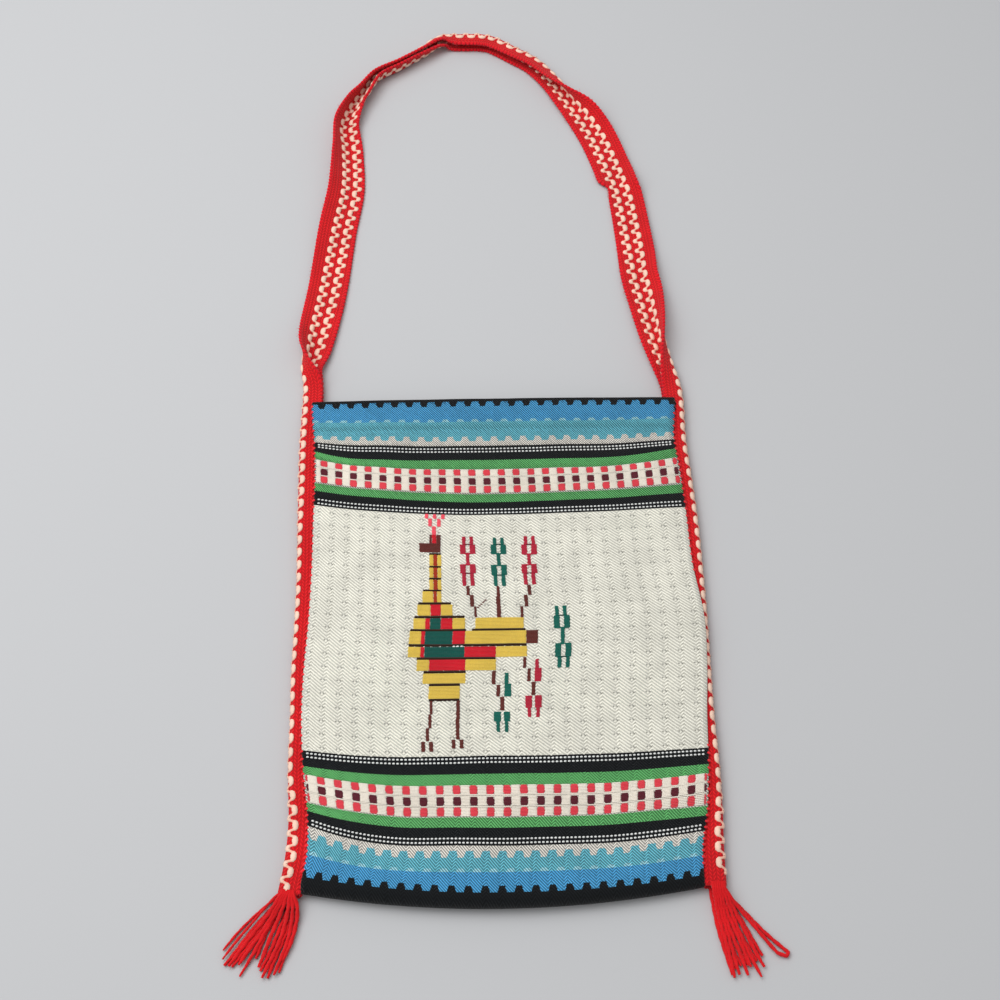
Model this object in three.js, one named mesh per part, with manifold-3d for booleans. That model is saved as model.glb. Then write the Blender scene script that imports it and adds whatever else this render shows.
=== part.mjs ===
// A flat shoulder bag of woven wool, lying on its back wall with the shoulder loop laid out past the mouth.
// Millimetres, +Z up. +X is to the right of the front wall, +Y runs from the bottom fold to the loop's crown.
// The origin is on the underside of the back wall, in the middle of the bag.

import * as THREE from 'three';
import { mergeVertices } from 'three/addons/utils/BufferGeometryUtils.js';
import Module from 'manifold-3d';

// Driving dimensions of the cloth body
const MOUTH_Y = 183;
const CORNER_Y = -178;
const BOTTOM_SAG = 11.5;
const CLOTH = 1.8;
const HEM_CLOTH = 2.8;
const HEM_DEPTH = 26;
const HEM_EDGE = 0.8;
const EDGE_HEIGHT = 10;
const FOLD_DEPTH = 5.5;

// Driving dimensions of the woven band
const BAND_WIDTH = 28.5;
const BAND_THICKNESS = 2.2;
const BEND_LENGTH = 10;
const GUSSET_ROLL = 90;
const GUSSET_FOLD = 180;
const GAP = 0.6;

// How fine the walls are cut
const CLOTH_COLUMNS = 18;
const FRONT_ROWS = 20;
const FOLD_ROWS = 6;
const GUSSET_STEP = 20;
const LOOP_STEP = 13;
const LOOK_AHEAD = 0.05;
const HALF_BAND = BAND_WIDTH / 2;
const HALF_BEND = BEND_LENGTH / 2;
const BAND_CUTS = [0, HALF_BEND / 2, HALF_BEND, (HALF_BEND + HALF_BAND) / 2, HALF_BAND];
const ACROSS_BAND = [...BAND_CUTS.slice(1).reverse().map((cut) => -cut), ...BAND_CUTS];

// Sides of the bag, from the mouth to the bottom fold: where the front wall ends on each side, and the line
// along which the band is folded outside it
const SIDES = [
  { y: 183, frontLeft: -133.2, frontRight: 132.4, bandLeft: -140.6, bandRight: 139.2 },
  { y: 150, frontLeft: -130.5, frontRight: 129.8, bandLeft: -141, bandRight: 138.6 },
  { y: 120, frontLeft: -128.6, frontRight: 132, bandLeft: -140.4, bandRight: 140 },
  { y: 85, frontLeft: -128.2, frontRight: 133.7, bandLeft: -139.3, bandRight: 141.6 },
  { y: 45, frontLeft: -127.5, frontRight: 135, bandLeft: -137.8, bandRight: 142 },
  { y: 5, frontLeft: -127.9, frontRight: 139.6, bandLeft: -137.4, bandRight: 141.8 },
  { y: -30, frontLeft: -129.3, frontRight: 138.6, bandLeft: -137.6, bandRight: 141 },
  { y: -65, frontLeft: -129.2, frontRight: 135.6, bandLeft: -136.7, bandRight: 140.4 },
  { y: -100, frontLeft: -126.4, frontRight: 133.6, bandLeft: -136.2, bandRight: 140.8 },
  { y: -130, frontLeft: -122.2, frontRight: 130.4, bandLeft: -134.2, bandRight: 140.2 },
  { y: -155, frontLeft: -121.4, frontRight: 125.4, bandLeft: -135, bandRight: 138.8 },
  { y: -178, frontLeft: -124.6, frontRight: 124.4, bandLeft: -138.4, bandRight: 138.4 },
];

// Height of the front wall's middle above its side edges, from the mouth to the bottom fold
const CROWN = [
  { y: 183, rise: 1.6 },
  { y: 150, rise: 3 },
  { y: 60, rise: 4.4 },
  { y: -60, rise: 4.6 },
  { y: -140, rise: 3.6 },
  { y: -190, rise: 2.6 },
];

// Soft dents and swells of the front wall, with their half widths across and along it
const DENTS = [
  { x: -78, y: -112, across: 34, along: 48, lift: -2 },
  { x: -20, y: -150, across: 30, along: 26, lift: 1.1 },
  { x: 62, y: -132, across: 38, along: 34, lift: -1.3 },
  { x: 104, y: 2, across: 34, along: 62, lift: 1.5 },
  { x: -108, y: 138, across: 18, along: 36, lift: -1.6 },
  { x: -84, y: 118, across: 16, along: 40, lift: 0.9 },
  { x: 88, y: 128, across: 26, along: 44, lift: -1 },
  { x: 10, y: 155, across: 90, along: 9, lift: -0.7 },
];

// The shoulder loop, from the left corner of the mouth over the crown to the right corner. Roll lifts the
// band's outer edge, and fold bends its two borders towards each other.
const LOOP = [
  { x: -140.8, y: 201, roll: 80, fold: 200 },
  { x: -142, y: 219, roll: 48, fold: 150 },
  { x: -136.4, y: 241, roll: 20, fold: 66 },
  { x: -128.5, y: 288, roll: 4, fold: 18 },
  { x: -122.5, y: 352, roll: 12, fold: 18 },
  { x: -117.4, y: 394, roll: 20, fold: 28 },
  { x: -119.6, y: 436, roll: 28, fold: 66 },
  { x: -122.6, y: 464, roll: 28, fold: 106 },
  { x: -115.6, y: 487, roll: 22, fold: 142 },
  { x: -108, y: 501, roll: 22, fold: 165 },
  { x: -97, y: 520, roll: 22, fold: 186 },
  { x: -77.5, y: 533.5, roll: 24, fold: 194 },
  { x: -57.4, y: 550, roll: 34, fold: 192 },
  { x: -46, y: 561.4, roll: 50, fold: 184 },
  { x: -36.6, y: 566.5, roll: 72, fold: 177 },
  { x: -22, y: 566, roll: 90, fold: 174 },
  { x: 2, y: 564, roll: 90, fold: 176 },
  { x: 24, y: 550, roll: 86, fold: 172 },
  { x: 43, y: 535, roll: 80, fold: 168 },
  { x: 58, y: 514, roll: 68, fold: 158 },
  { x: 70, y: 491, roll: 44, fold: 118 },
  { x: 81, y: 470, roll: 20, fold: 52 },
  { x: 91, y: 446, roll: 10, fold: 26 },
  { x: 100, y: 416, roll: 6, fold: 18 },
  { x: 105.6, y: 396, roll: 12, fold: 42 },
  { x: 108.5, y: 380, roll: 6, fold: 14 },
  { x: 113.5, y: 332, roll: 8, fold: 16 },
  { x: 115.8, y: 305, roll: 14, fold: 42 },
  { x: 119, y: 285, roll: 14, fold: 50 },
  { x: 126, y: 245, roll: 32, fold: 105 },
  { x: 133, y: 219, roll: 58, fold: 155 },
  { x: 138, y: 200, roll: 80, fold: 188 },
];

// Locks of a tassel, from its inner side to its outer side: turn from the line of the band, length, how high
// its root sits in the head, and how far it curls sideways
const LOCKS = [
  { turn: 0, length: 39, root: 2.4, curl: -3 },
  { turn: 5, length: 45, root: 4.6, curl: 4 },
  { turn: 10, length: 49, root: 2.2, curl: -4 },
  { turn: 14, length: 47, root: 5.0, curl: 3 },
  { turn: 18, length: 52, root: 2.6, curl: 2 },
  { turn: 22, length: 49, root: 4.8, curl: -4 },
  { turn: 26, length: 53, root: 2.2, curl: 3 },
  { turn: 30, length: 49, root: 5.0, curl: -2 },
  { turn: 34, length: 52, root: 2.4, curl: 4 },
  { turn: 38, length: 50, root: 4.4, curl: -3 },
  { turn: 42, length: 48, root: 2.2, curl: 2 },
];
const LOCK_RADIUS = 2;
const LOCK_SIDES = 5;
const LOCK_STEPS = 4;
const LOCK_PARTS = [0, 0.3, 0.65, 1];
const LOCK_ROOT = 2.4;
const LOCK_FALL = 1.5;
const HEAD_LENGTH = 8;
const HEAD_RIM = 2.6;
const HEAD_WIDTH = 13;
const HEAD_HEIGHT = 8.4;
const TASSELS = [
  { name: 'tassel_left', x: -132.3, y: -179.5, heading: 261, lean: -2, outerSide: -1 },
  { name: 'tassel_right', x: 132.2, y: -178.6, heading: 269.5, lean: 12, outerSide: 1 },
];

const wasm = await Module();
wasm.setup();

const toRadians = THREE.MathUtils.degToRad;

// One column of a table at a place between its rows, on a smooth curve through them
function between(rows, key, place) {
  const last = rows.length - 1;
  const index = THREE.MathUtils.clamp(Math.floor(place), 0, last - 1);
  const part = THREE.MathUtils.clamp(place - index, 0, 1);
  const [before, start, end, after] = [index - 1, index, index + 1, index + 2].map(
    (row) => rows[THREE.MathUtils.clamp(row, 0, last)][key],
  );
  const leaving = (end - before) / 2;
  const arriving = (after - start) / 2;
  const square = part * part;
  const cube = square * part;
  return (2 * cube - 3 * square + 1) * start + (cube - 2 * square + part) * leaving
    + (3 * square - 2 * cube) * end + (cube - square) * arriving;
}

// The same, for a table whose rows run down the bag by their y
function atHeight(rows, key, y) {
  const last = rows.length - 1;
  let row = 0;
  while (row < last - 1 && y < rows[row + 1].y) {
    row += 1;
  }
  const part = (rows[row].y - y) / (rows[row].y - rows[row + 1].y);
  return between(rows, key, row + THREE.MathUtils.clamp(part, 0, 1));
}

// A closed wall of cloth round a grid of middle points, with half its thickness given for each row
function wallGeometry(grid, halfOfRow) {
  const rows = grid.length;
  const columns = grid[0].length;
  const positions = [];
  const clampRow = (row) => THREE.MathUtils.clamp(row, 0, rows - 1);
  const clampColumn = (column) => THREE.MathUtils.clamp(column, 0, columns - 1);
  const side = (sign) => {
    for (let row = 0; row < rows; row += 1) {
      for (let column = 0; column < columns; column += 1) {
        const across = new THREE.Vector3().subVectors(
          grid[row][clampColumn(column + 1)],
          grid[row][clampColumn(column - 1)],
        );
        const along = new THREE.Vector3().subVectors(
          grid[clampRow(row + 1)][column],
          grid[clampRow(row - 1)][column],
        );
        const normal = across.cross(along).normalize();
        const point = grid[row][column].clone().addScaledVector(normal, sign * halfOfRow(row));
        positions.push(point.x, point.y, point.z);
      }
    }
  };
  side(1);
  side(-1);

  const upper = (row, column) => row * columns + column;
  const lower = (row, column) => rows * columns + row * columns + column;
  const faces = [];
  const quad = (a, b, c, d) => faces.push(a, b, c, a, c, d);
  for (let row = 0; row < rows - 1; row += 1) {
    for (let column = 0; column < columns - 1; column += 1) {
      quad(upper(row, column), upper(row, column + 1), upper(row + 1, column + 1), upper(row + 1, column));
      quad(lower(row, column), lower(row + 1, column), lower(row + 1, column + 1), lower(row, column + 1));
    }
    const end = columns - 1;
    quad(upper(row, 0), upper(row + 1, 0), lower(row + 1, 0), lower(row, 0));
    quad(upper(row, end), lower(row, end), lower(row + 1, end), upper(row + 1, end));
  }
  for (let column = 0; column < columns - 1; column += 1) {
    const end = rows - 1;
    quad(upper(0, column), lower(0, column), lower(0, column + 1), upper(0, column + 1));
    quad(upper(end, column), upper(end, column + 1), lower(end, column + 1), lower(end, column));
  }
  const geometry = new THREE.BufferGeometry();
  geometry.setAttribute('position', new THREE.Float32BufferAttribute(positions, 3));
  geometry.setIndex(faces);
  geometry.computeVertexNormals();
  return geometry;
}

// Reach of a gusset's two borders from the line of its fold towards the bag
const GUSSET_REACH = BEND_LENGTH / Math.PI + HALF_BAND - HALF_BEND;

// Height of the front wall's middle surface
function frontHeight(side, x, y) {
  const pillow = 1 - Math.abs(side) ** 3;
  let height = EDGE_HEIGHT + atHeight(CROWN, 'rise', y) * pillow;
  for (const dent of DENTS) {
    const distance = ((x - dent.x) / dent.across) ** 2 + ((y - dent.y) / dent.along) ** 2;
    height += dent.lift * Math.exp(-distance) * pillow;
  }
  return height;
}

// The cloth body: from the front hem down the front wall, round the bottom fold and up the back wall
function clothBody() {
  const grid = [];
  const bottomOf = (side) => CORNER_Y - BOTTOM_SAG * (1 - side * side);
  const sideOf = (column) => (2 * column) / CLOTH_COLUMNS - 1;
  const edgeX = (left, right, side) => THREE.MathUtils.lerp(left, right, (side + 1) / 2);
  const frontX = (side, y) => edgeX(
    atHeight(SIDES, 'frontLeft', y),
    atHeight(SIDES, 'frontRight', y),
    side,
  );
  const backX = (side, y) => edgeX(
    atHeight(SIDES, 'bandLeft', y) + GUSSET_REACH + GAP,
    atHeight(SIDES, 'bandRight', y) - GUSSET_REACH - GAP,
    side,
  );
  const addRow = (place) => {
    const row = [];
    for (let column = 0; column <= CLOTH_COLUMNS; column += 1) {
      row.push(place(sideOf(column)));
    }
    grid.push(row);
  };

  // Rows are placed by their share of the wall's height; the hem's edge is a small step between two rows
  const wallHeight = MOUTH_Y - CORNER_Y - FOLD_DEPTH;
  const hemRow = HEM_DEPTH / wallHeight;
  const hemEdge = HEM_EDGE / wallHeight;
  const frontPlaces = [0, hemRow - hemEdge, hemRow + hemEdge];
  for (let row = 1; row <= FRONT_ROWS; row += 1) {
    frontPlaces.push(hemRow + ((1 - hemRow) * row) / FRONT_ROWS);
  }
  for (const place of frontPlaces) {
    const hemLift = place < hemRow ? (HEM_CLOTH - CLOTH) / 2 : 0;
    addRow((side) => {
      const y = THREE.MathUtils.lerp(MOUTH_Y, bottomOf(side) + FOLD_DEPTH, place);
      const x = frontX(side, y);
      return new THREE.Vector3(x, y, frontHeight(side, x, y) + hemLift);
    });
  }
  for (let row = 1; row < FOLD_ROWS; row += 1) {
    const turn = (Math.PI * row) / FOLD_ROWS;
    addRow((side) => {
      const startY = bottomOf(side) + FOLD_DEPTH;
      const startX = frontX(side, startY);
      const top = frontHeight(side, startX, startY);
      const radius = (top - CLOTH / 2) / 2;
      const y = startY - FOLD_DEPTH * Math.sin(turn);
      const x = THREE.MathUtils.lerp(startX, backX(side, startY), row / FOLD_ROWS);
      return new THREE.Vector3(x, y, CLOTH / 2 + radius * (1 + Math.cos(turn)));
    });
  }
  const backPlaces = SIDES.map((row) => Math.max(0, row.y - CORNER_Y - FOLD_DEPTH) / wallHeight);
  backPlaces.push(1 - hemRow - hemEdge, 1 - hemRow + hemEdge);
  backPlaces.sort((a, b) => a - b);
  for (const place of backPlaces) {
    addRow((side) => {
      const y = THREE.MathUtils.lerp(bottomOf(side) + FOLD_DEPTH, MOUTH_Y, place);
      return new THREE.Vector3(backX(side, y), y, (place > 1 - hemRow ? HEM_CLOTH : CLOTH) / 2);
    });
  }
  const isHem = (row) => row < 2 || row >= grid.length - 2;
  return wallGeometry(grid, (row) => (isHem(row) ? HEM_CLOTH : CLOTH) / 2);
}

// Route of the whole band: up the left side, round the loop and down the right side
function bandRoute() {
  const gusset = { roll: GUSSET_ROLL, fold: GUSSET_FOLD };
  const left = SIDES.map((row) => ({ x: row.bandLeft, y: row.y, ...gusset })).reverse();
  const right = SIDES.map((row) => ({ x: row.bandRight, y: row.y, ...gusset }));
  return [...left, ...LOOP, ...right];
}

// A point across the bent band, from its middle line: out along the band and up from its face
function bandSection(place, fold) {
  const bent = THREE.MathUtils.clamp(place, -HALF_BEND, HALF_BEND);
  const rest = place - bent;
  const radius = BEND_LENGTH / toRadians(fold);
  const turn = bent / radius;
  return {
    out: radius * Math.sin(turn) + rest * Math.cos(turn),
    up: radius * (1 - Math.cos(turn)) + rest * Math.sin(turn),
  };
}

// The woven band, swept along its route and laid on the ground
function shoulderBand() {
  const route = bandRoute();
  const gussetRows = SIDES.length - 1;
  const last = route.length - 1;
  const spot = (place) => new THREE.Vector2(between(route, 'x', place), between(route, 'y', place));
  const grid = [];
  const addStation = (place) => {
    const middle = spot(place);
    const ahead = spot(Math.min(place + LOOK_AHEAD, last)).sub(spot(Math.max(place - LOOK_AHEAD, 0)));
    ahead.normalize();
    const outward = new THREE.Vector3(-ahead.y, ahead.x, 0);
    const roll = toRadians(between(route, 'roll', place));
    const fold = between(route, 'fold', place);
    const row = ACROSS_BAND.map((cut) => {
      const { out, up } = bandSection(cut, fold);
      const level = out * Math.cos(roll) - up * Math.sin(roll);
      const height = out * Math.sin(roll) + up * Math.cos(roll);
      return new THREE.Vector3(middle.x, middle.y, height).addScaledVector(outward, level);
    });
    const lowest = Math.min(...row.map((point) => point.z));
    for (const point of row) {
      point.z += BAND_THICKNESS / 2 - lowest;
    }
    grid.push(row);
  };
  for (let row = 0; row < last; row += 1) {
    const isGusset = row < gussetRows || row >= last - gussetRows;
    const step = isGusset ? GUSSET_STEP : LOOP_STEP;
    const parts = Math.max(1, Math.round(spot(row).distanceTo(spot(row + 1)) / step));
    for (let part = 0; part < parts; part += 1) {
      addStation(row + part / parts);
    }
  }
  addStation(last);
  return wallGeometry(grid, () => BAND_THICKNESS / 2);
}

// A closed mesh as a solid that can be joined to others
function toSolid(geometry) {
  const bare = geometry.clone();
  bare.deleteAttribute('normal');
  bare.deleteAttribute('uv');
  const merged = mergeVertices(bare, 1e-4);
  return new wasm.Manifold(new wasm.Mesh({
    numProp: 3,
    vertProperties: new Float32Array(merged.attributes.position.array),
    triVerts: new Uint32Array(merged.index.array),
  }));
}

// The joined solid as a mesh again
function toGeometry(solid) {
  const mesh = solid.getMesh();
  const geometry = new THREE.BufferGeometry();
  geometry.setAttribute('position', new THREE.Float32BufferAttribute(mesh.vertProperties, 3));
  geometry.setIndex(Array.from(mesh.triVerts));
  geometry.computeVertexNormals();
  return geometry;
}

// A tassel that carries on the line of the band, here +X: a flat head with the locks fused into it, which fan
// out towards one side
function tassel(outerSide, lean) {
  const headShape = new THREE.Shape();
  headShape.absellipse(0, 0, HEAD_HEIGHT / 2, HEAD_WIDTH / 2, 0, Math.PI * 2);
  const headPath = new THREE.LineCurve3(
    new THREE.Vector3(0, 0, HEAD_HEIGHT / 2),
    new THREE.Vector3(HEAD_LENGTH, 0, HEAD_HEIGHT / 2),
  );
  const head = new THREE.ExtrudeGeometry(headShape, { steps: 1, curveSegments: 10, extrudePath: headPath });
  let joined = toSolid(head);

  const lockShape = new THREE.Shape();
  for (let side = 0; side < LOCK_SIDES; side += 1) {
    const angle = (Math.PI * 2 * (side + 0.5)) / LOCK_SIDES;
    const [x, y] = [LOCK_RADIUS * Math.cos(angle), LOCK_RADIUS * Math.sin(angle)];
    if (side === 0) {
      lockShape.moveTo(x, y);
    } else {
      lockShape.lineTo(x, y);
    }
  }
  LOCKS.forEach((lock, index) => {
    const rootPlace = index / (LOCKS.length - 1) - 0.5;
    const rootY = outerSide * rootPlace * (HEAD_WIDTH - 2 * HEAD_RIM);
    const heading = toRadians(outerSide * (lock.turn + lean));
    const forward = new THREE.Vector3(Math.cos(heading), Math.sin(heading), 0);
    const sideways = new THREE.Vector3(-forward.y, forward.x, 0);
    const root = new THREE.Vector3(LOCK_ROOT, rootY, lock.root);
    const rest = Math.max(LOCK_RADIUS, lock.root / 2);
    const points = LOCK_PARTS.map((part) => {
      const height = THREE.MathUtils.lerp(lock.root, rest, Math.min(1, part * LOCK_FALL));
      const bow = lock.curl * Math.sin(part * Math.PI);
      const point = root.clone().addScaledVector(forward, lock.length * part).addScaledVector(sideways, bow);
      point.z = height;
      return point;
    });
    const path = new THREE.CatmullRomCurve3(points);
    const yarns = new THREE.ExtrudeGeometry(lockShape, { steps: LOCK_STEPS, extrudePath: path });
    joined = joined.add(toSolid(yarns));
  });
  return toGeometry(joined);
}

// Wool finishes, from the photographed colours
const wool = (color) => new THREE.MeshStandardMaterial({ color, roughness: 0.9, metalness: 0 });

const bag = new THREE.Group();
bag.name = 'woven_shoulder_bag';

const cloth = new THREE.Mesh(clothBody(), wool('#dad9ce'));
cloth.name = 'cloth_body';
bag.add(cloth);

const band = new THREE.Mesh(shoulderBand(), wool('#cf2426'));
band.name = 'shoulder_band';
bag.add(band);

for (const place of TASSELS) {
  const fringe = new THREE.Mesh(tassel(place.outerSide, place.lean), wool('#bb1e22'));
  fringe.name = place.name;
  fringe.position.set(place.x, place.y, 0);
  fringe.rotation.z = toRadians(place.heading);
  bag.add(fringe);
}

export default bag;
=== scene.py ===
import functools
import math
import random

import bmesh
import bpy
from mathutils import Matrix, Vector, noise


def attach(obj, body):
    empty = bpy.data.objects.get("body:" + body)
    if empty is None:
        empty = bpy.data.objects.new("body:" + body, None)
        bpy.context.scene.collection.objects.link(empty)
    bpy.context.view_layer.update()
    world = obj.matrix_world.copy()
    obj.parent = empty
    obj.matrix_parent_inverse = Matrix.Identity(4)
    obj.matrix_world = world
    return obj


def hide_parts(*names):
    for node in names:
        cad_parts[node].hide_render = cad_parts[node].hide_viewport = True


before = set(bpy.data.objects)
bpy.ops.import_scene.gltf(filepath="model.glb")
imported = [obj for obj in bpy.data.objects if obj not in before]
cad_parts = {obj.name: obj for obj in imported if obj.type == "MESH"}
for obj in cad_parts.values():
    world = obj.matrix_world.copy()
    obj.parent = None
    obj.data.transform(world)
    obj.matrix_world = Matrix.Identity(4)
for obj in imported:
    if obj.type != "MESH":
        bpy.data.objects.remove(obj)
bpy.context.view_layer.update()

# Cloth body: one hand-woven wool cloth, folded at the bottom into front wall, fold and back wall, with a
# turned hem along the mouth. Natural cream wool in an eyed twill, with dyed stripes towards both ends. Its
# edges, crown and dents are those of the solid that it stands for, all in millimetres.
MM = 0.001
MOUTH_Y = 183
CORNER_Y = -178
BOTTOM_SAG = 11.5
CLOTH = 1.8
HEM_CLOTH = 2.8
HEM_DEPTH = 26
HEM_EDGE = 2
HEM_CREASE = 0.1
CREASE_WIDTH = 0.9
EDGE_HEIGHT = 10
FOLD_DEPTH = 5.5
BACK_INSET = 13.03
HALF_CLOTH = 134
CLOTH_COLUMNS = 96
FRONT_ROWS = 130
FOLD_ROWS = 14
BACK_ROWS = 40
EDGE_DEPTHS = (0, 0.1, 0.4, 0.9, 1.4, 2.2)
RIM_SHARE = 0.8
MOUTH_EDGE = 0.004
CREASE_STEP = 0.55
CREASE_STEPS = range(-6, 8)
LENGTH_ROUNDS = 6
WALL_HEIGHT = MOUTH_Y - CORNER_Y - FOLD_DEPTH
# y, left and right edge of the front wall, left and right line along which the band is folded
SIDES = (
    (183, -133.2, 132.4, -140.6, 139.2), (150, -130.5, 129.8, -141, 138.6),
    (120, -128.6, 132, -140.4, 140), (85, -128.2, 133.7, -139.3, 141.6), (45, -127.5, 135, -137.8, 142),
    (5, -127.9, 139.6, -137.4, 141.8), (-30, -129.3, 138.6, -137.6, 141),
    (-65, -129.2, 135.6, -136.7, 140.4), (-100, -126.4, 133.6, -136.2, 140.8),
    (-130, -122.2, 130.4, -134.2, 140.2), (-155, -121.4, 125.4, -135, 138.8),
    (-178, -124.6, 124.4, -138.4, 138.4),
)
# y, height of the front wall's middle above its side edges
CROWN = ((183, 1.6), (150, 3), (60, 4.4), (-60, 4.6), (-140, 3.6), (-190, 2.6))
# x, y, half width across, half width along and lift of the soft dents and swells
DENTS = (
    (-78, -112, 34, 48, -2), (-20, -150, 30, 26, 1.1), (62, -132, 38, 34, -1.3), (104, 2, 34, 62, 1.5),
    (-108, 138, 18, 36, -1.6), (-84, 118, 16, 40, 0.9), (88, 128, 26, 44, -1), (10, 155, 90, 9, -0.7),
)
# height, size across and along, and seed of the small slack folds
SLACK = ((0.45, 30, 19, 3.1), (0.16, 12, 9, 7.7))
# length of cloth from the mouth, how far its weft lines rise towards the left edge and how suddenly, and
# the same for the right edge
WEFT_RISE = (
    (0, 0, 3, 0, 3), (33, 4, 3, 3, 3), (47, 8.5, 3.6, 6, 2.6), (54, 11.5, 4.6, 9.5, 3.4),
    (62, 13, 3.2, 9.8, 3), (75, 13.4, 2.6, 8.4, 2.2), (90, 14, 2.4, 7.6, 2), (97, 12.8, 2.5, 6.5, 1.8),
    (140, 9, 2.6, 6, 2.2), (230, 7.5, 2.8, 5, 2.4), (283, 7.5, 3.2, 5, 2.6), (308, 13, 3.2, 8.5, 2.7),
    (320, 13, 3.1, 6.5, 2), (332, 15.5, 3.6, 8, 2.7), (345, 15, 3.6, 9, 2.7), (363, 12.5, 2.2, 9.5, 2.4),
    (380, 12, 2.2, 9.5, 2.4),
)
# rise, number of swings across, length of a swing and seed of the wefts' wandering, and where it sets in
WANDER = (0.5, 3.2, 45, 1.3)
WANDER_START = 40


def clamp(value, low, high):
    return max(low, min(high, value))


def lerp(start, end, part):
    return start + (end - start) * part


def smooth(part):
    part = clamp(part, 0, 1)
    return part * part * (3 - 2 * part)


def between(rows, column, place):
    """One column of a table at a place between its rows, on a smooth curve through them."""
    last = len(rows) - 1
    index = int(clamp(math.floor(place), 0, last - 1))
    part = clamp(place - index, 0, 1)
    before, start, end, after = (rows[int(clamp(index + step, 0, last))][column] for step in (-1, 0, 1, 2))
    square = part * part
    cube = square * part
    curve = (2 * cube - 3 * square + 1) * start + (3 * square - 2 * cube) * end
    return curve + (cube - 2 * square + part) * (end - before) / 2 + (cube - square) * (after - start) / 2


def at_first(rows, column, first):
    """The same, at a value of the table's first column, which runs steadily up or down."""
    row = 0
    downwards = rows[0][0] > rows[1][0]
    while row < len(rows) - 2 and (first < rows[row + 1][0]) == downwards and first != rows[row + 1][0]:
        row += 1
    part = (first - rows[row][0]) / (rows[row + 1][0] - rows[row][0])
    return between(rows, column, row + clamp(part, 0, 1))


def bottom_of(side):
    return CORNER_Y - BOTTOM_SAG * (1 - side * side)


def front_x(side, y):
    return lerp(at_first(SIDES, 1, y), at_first(SIDES, 2, y), (side + 1) / 2)


def back_x(side, y):
    return lerp(at_first(SIDES, 3, y) + BACK_INSET, at_first(SIDES, 4, y) - BACK_INSET, (side + 1) / 2)


def hem_part(depth):
    """1 in the turned hem, 0 below it."""
    return smooth((HEM_DEPTH + HEM_EDGE - depth) / (2 * HEM_EDGE))


def half_cloth(depth):
    """Half the thickness of the cloth at a depth below the mouth, rounded off at the mouth's edge."""
    half = lerp(CLOTH, HEM_CLOTH, hem_part(depth)) / 2
    short = 1 - clamp(depth / half, MOUTH_EDGE, 1)
    return half * math.sqrt(1 - short * short)


def front_height(side, x, y):
    """Height of the front wall's middle surface, with its dents, small slack folds and hem."""
    height = at_first(CROWN, 1, y)
    for dent_x, dent_y, across, along, lift in DENTS:
        height += lift * math.exp(-(((x - dent_x) / across) ** 2) - ((y - dent_y) / along) ** 2)
    for lift, across, along, seed in SLACK:
        height += lift * noise.noise(Vector((x / across, y / along, seed)))
    depth = MOUTH_Y - y
    hem = hem_part(depth) * (HEM_CLOTH - CLOTH) / 2
    crease = HEM_CREASE * math.exp(-(((depth - HEM_DEPTH - HEM_EDGE) / CREASE_WIDTH) ** 2))
    return EDGE_HEIGHT + height * (1 - abs(side) ** 3) + hem - crease


def weft_rise(side, length):
    """How far the weft line at a length of cloth has risen above its own middle."""
    edge = 1 if side < 0 else 3
    rise, swings, swing_length, seed = WANDER
    wander = rise * noise.noise(Vector((side * swings, length / swing_length, seed)))
    wander *= smooth(length / WANDER_START)
    return at_first(WEFT_RISE, edge, length) * abs(side) ** at_first(WEFT_RISE, edge + 1, length) + wander


def cloth_length(side, y):
    """Length of cloth between the mouth and the weft line that passes here."""
    length = MOUTH_Y - y
    for _ in range(LENGTH_ROUNDS):
        length = MOUTH_Y - y + weft_rise(side, max(length, 0))
    return length


def wall_piece(name, grid, half, map_name):
    """A closed wall with rounded rims round a grid of middle points, and a map of the places beside them."""
    rows = len(grid)
    columns = len(grid[0])
    middle = [[point for point, _ in row] for row in grid]
    upper = []
    lower = []
    for row in range(rows):
        for column in range(columns):
            along = middle[min(row + 1, rows - 1)][column] - middle[max(row - 1, 0)][column]
            across = middle[row][min(column + 1, columns - 1)] - middle[row][max(column - 1, 0)]
            thickness = along.cross(across).normalized() * half(row, column)
            upper.append(middle[row][column] + thickness)
            lower.append(middle[row][column] - thickness)
    rim = [(0, column) for column in range(columns)]
    rim += [(row, columns - 1) for row in range(1, rows)]
    rim += [(rows - 1, column) for column in range(columns - 2, -1, -1)]
    rim += [(row, 0) for row in range(rows - 2, 0, -1)]
    edge = []
    for row, column in rim:
        inner = middle[int(clamp(row, 1, rows - 2))][int(clamp(column, 1, columns - 2))]
        outwards = (middle[row][column] - inner).normalized()
        edge.append(middle[row][column] + outwards * half(row, column) * RIM_SHARE)

    count = rows * columns
    faces = []
    for row in range(rows - 1):
        for corner in range(row * columns, row * columns + columns - 1):
            below = corner + columns
            faces.append((corner, below, below + 1, corner + 1))
            faces.append((count + corner, count + corner + 1, count + below + 1, count + below))
    for index, (row, column) in enumerate(rim):
        following = (index + 1) % len(rim)
        here = row * columns + column
        there = rim[following][0] * columns + rim[following][1]
        faces.append((here, there, 2 * count + following, 2 * count + index))
        faces.append((2 * count + index, 2 * count + following, count + there, count + here))

    mesh = bpy.data.meshes.new(name)
    mesh.from_pydata([point * MM for point in upper + lower + edge], [], faces)
    places = [place for row in grid for _, place in row] * 2 + [grid[row][column][1] for row, column in rim]
    layer = mesh.uv_layers.new(name=map_name)
    for loop in mesh.loops:
        layer.data[loop.index].uv = places[loop.vertex_index]
    shell = bmesh.new()
    shell.from_mesh(mesh)
    bmesh.ops.recalc_face_normals(shell, faces=shell.faces)
    shell.to_mesh(mesh)
    shell.free()
    mesh.shade_smooth()
    return place_piece(name, mesh)


def place_piece(name, mesh):
    piece = bpy.data.objects.new(name, mesh)
    bpy.context.collection.objects.link(piece)
    return piece


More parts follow.
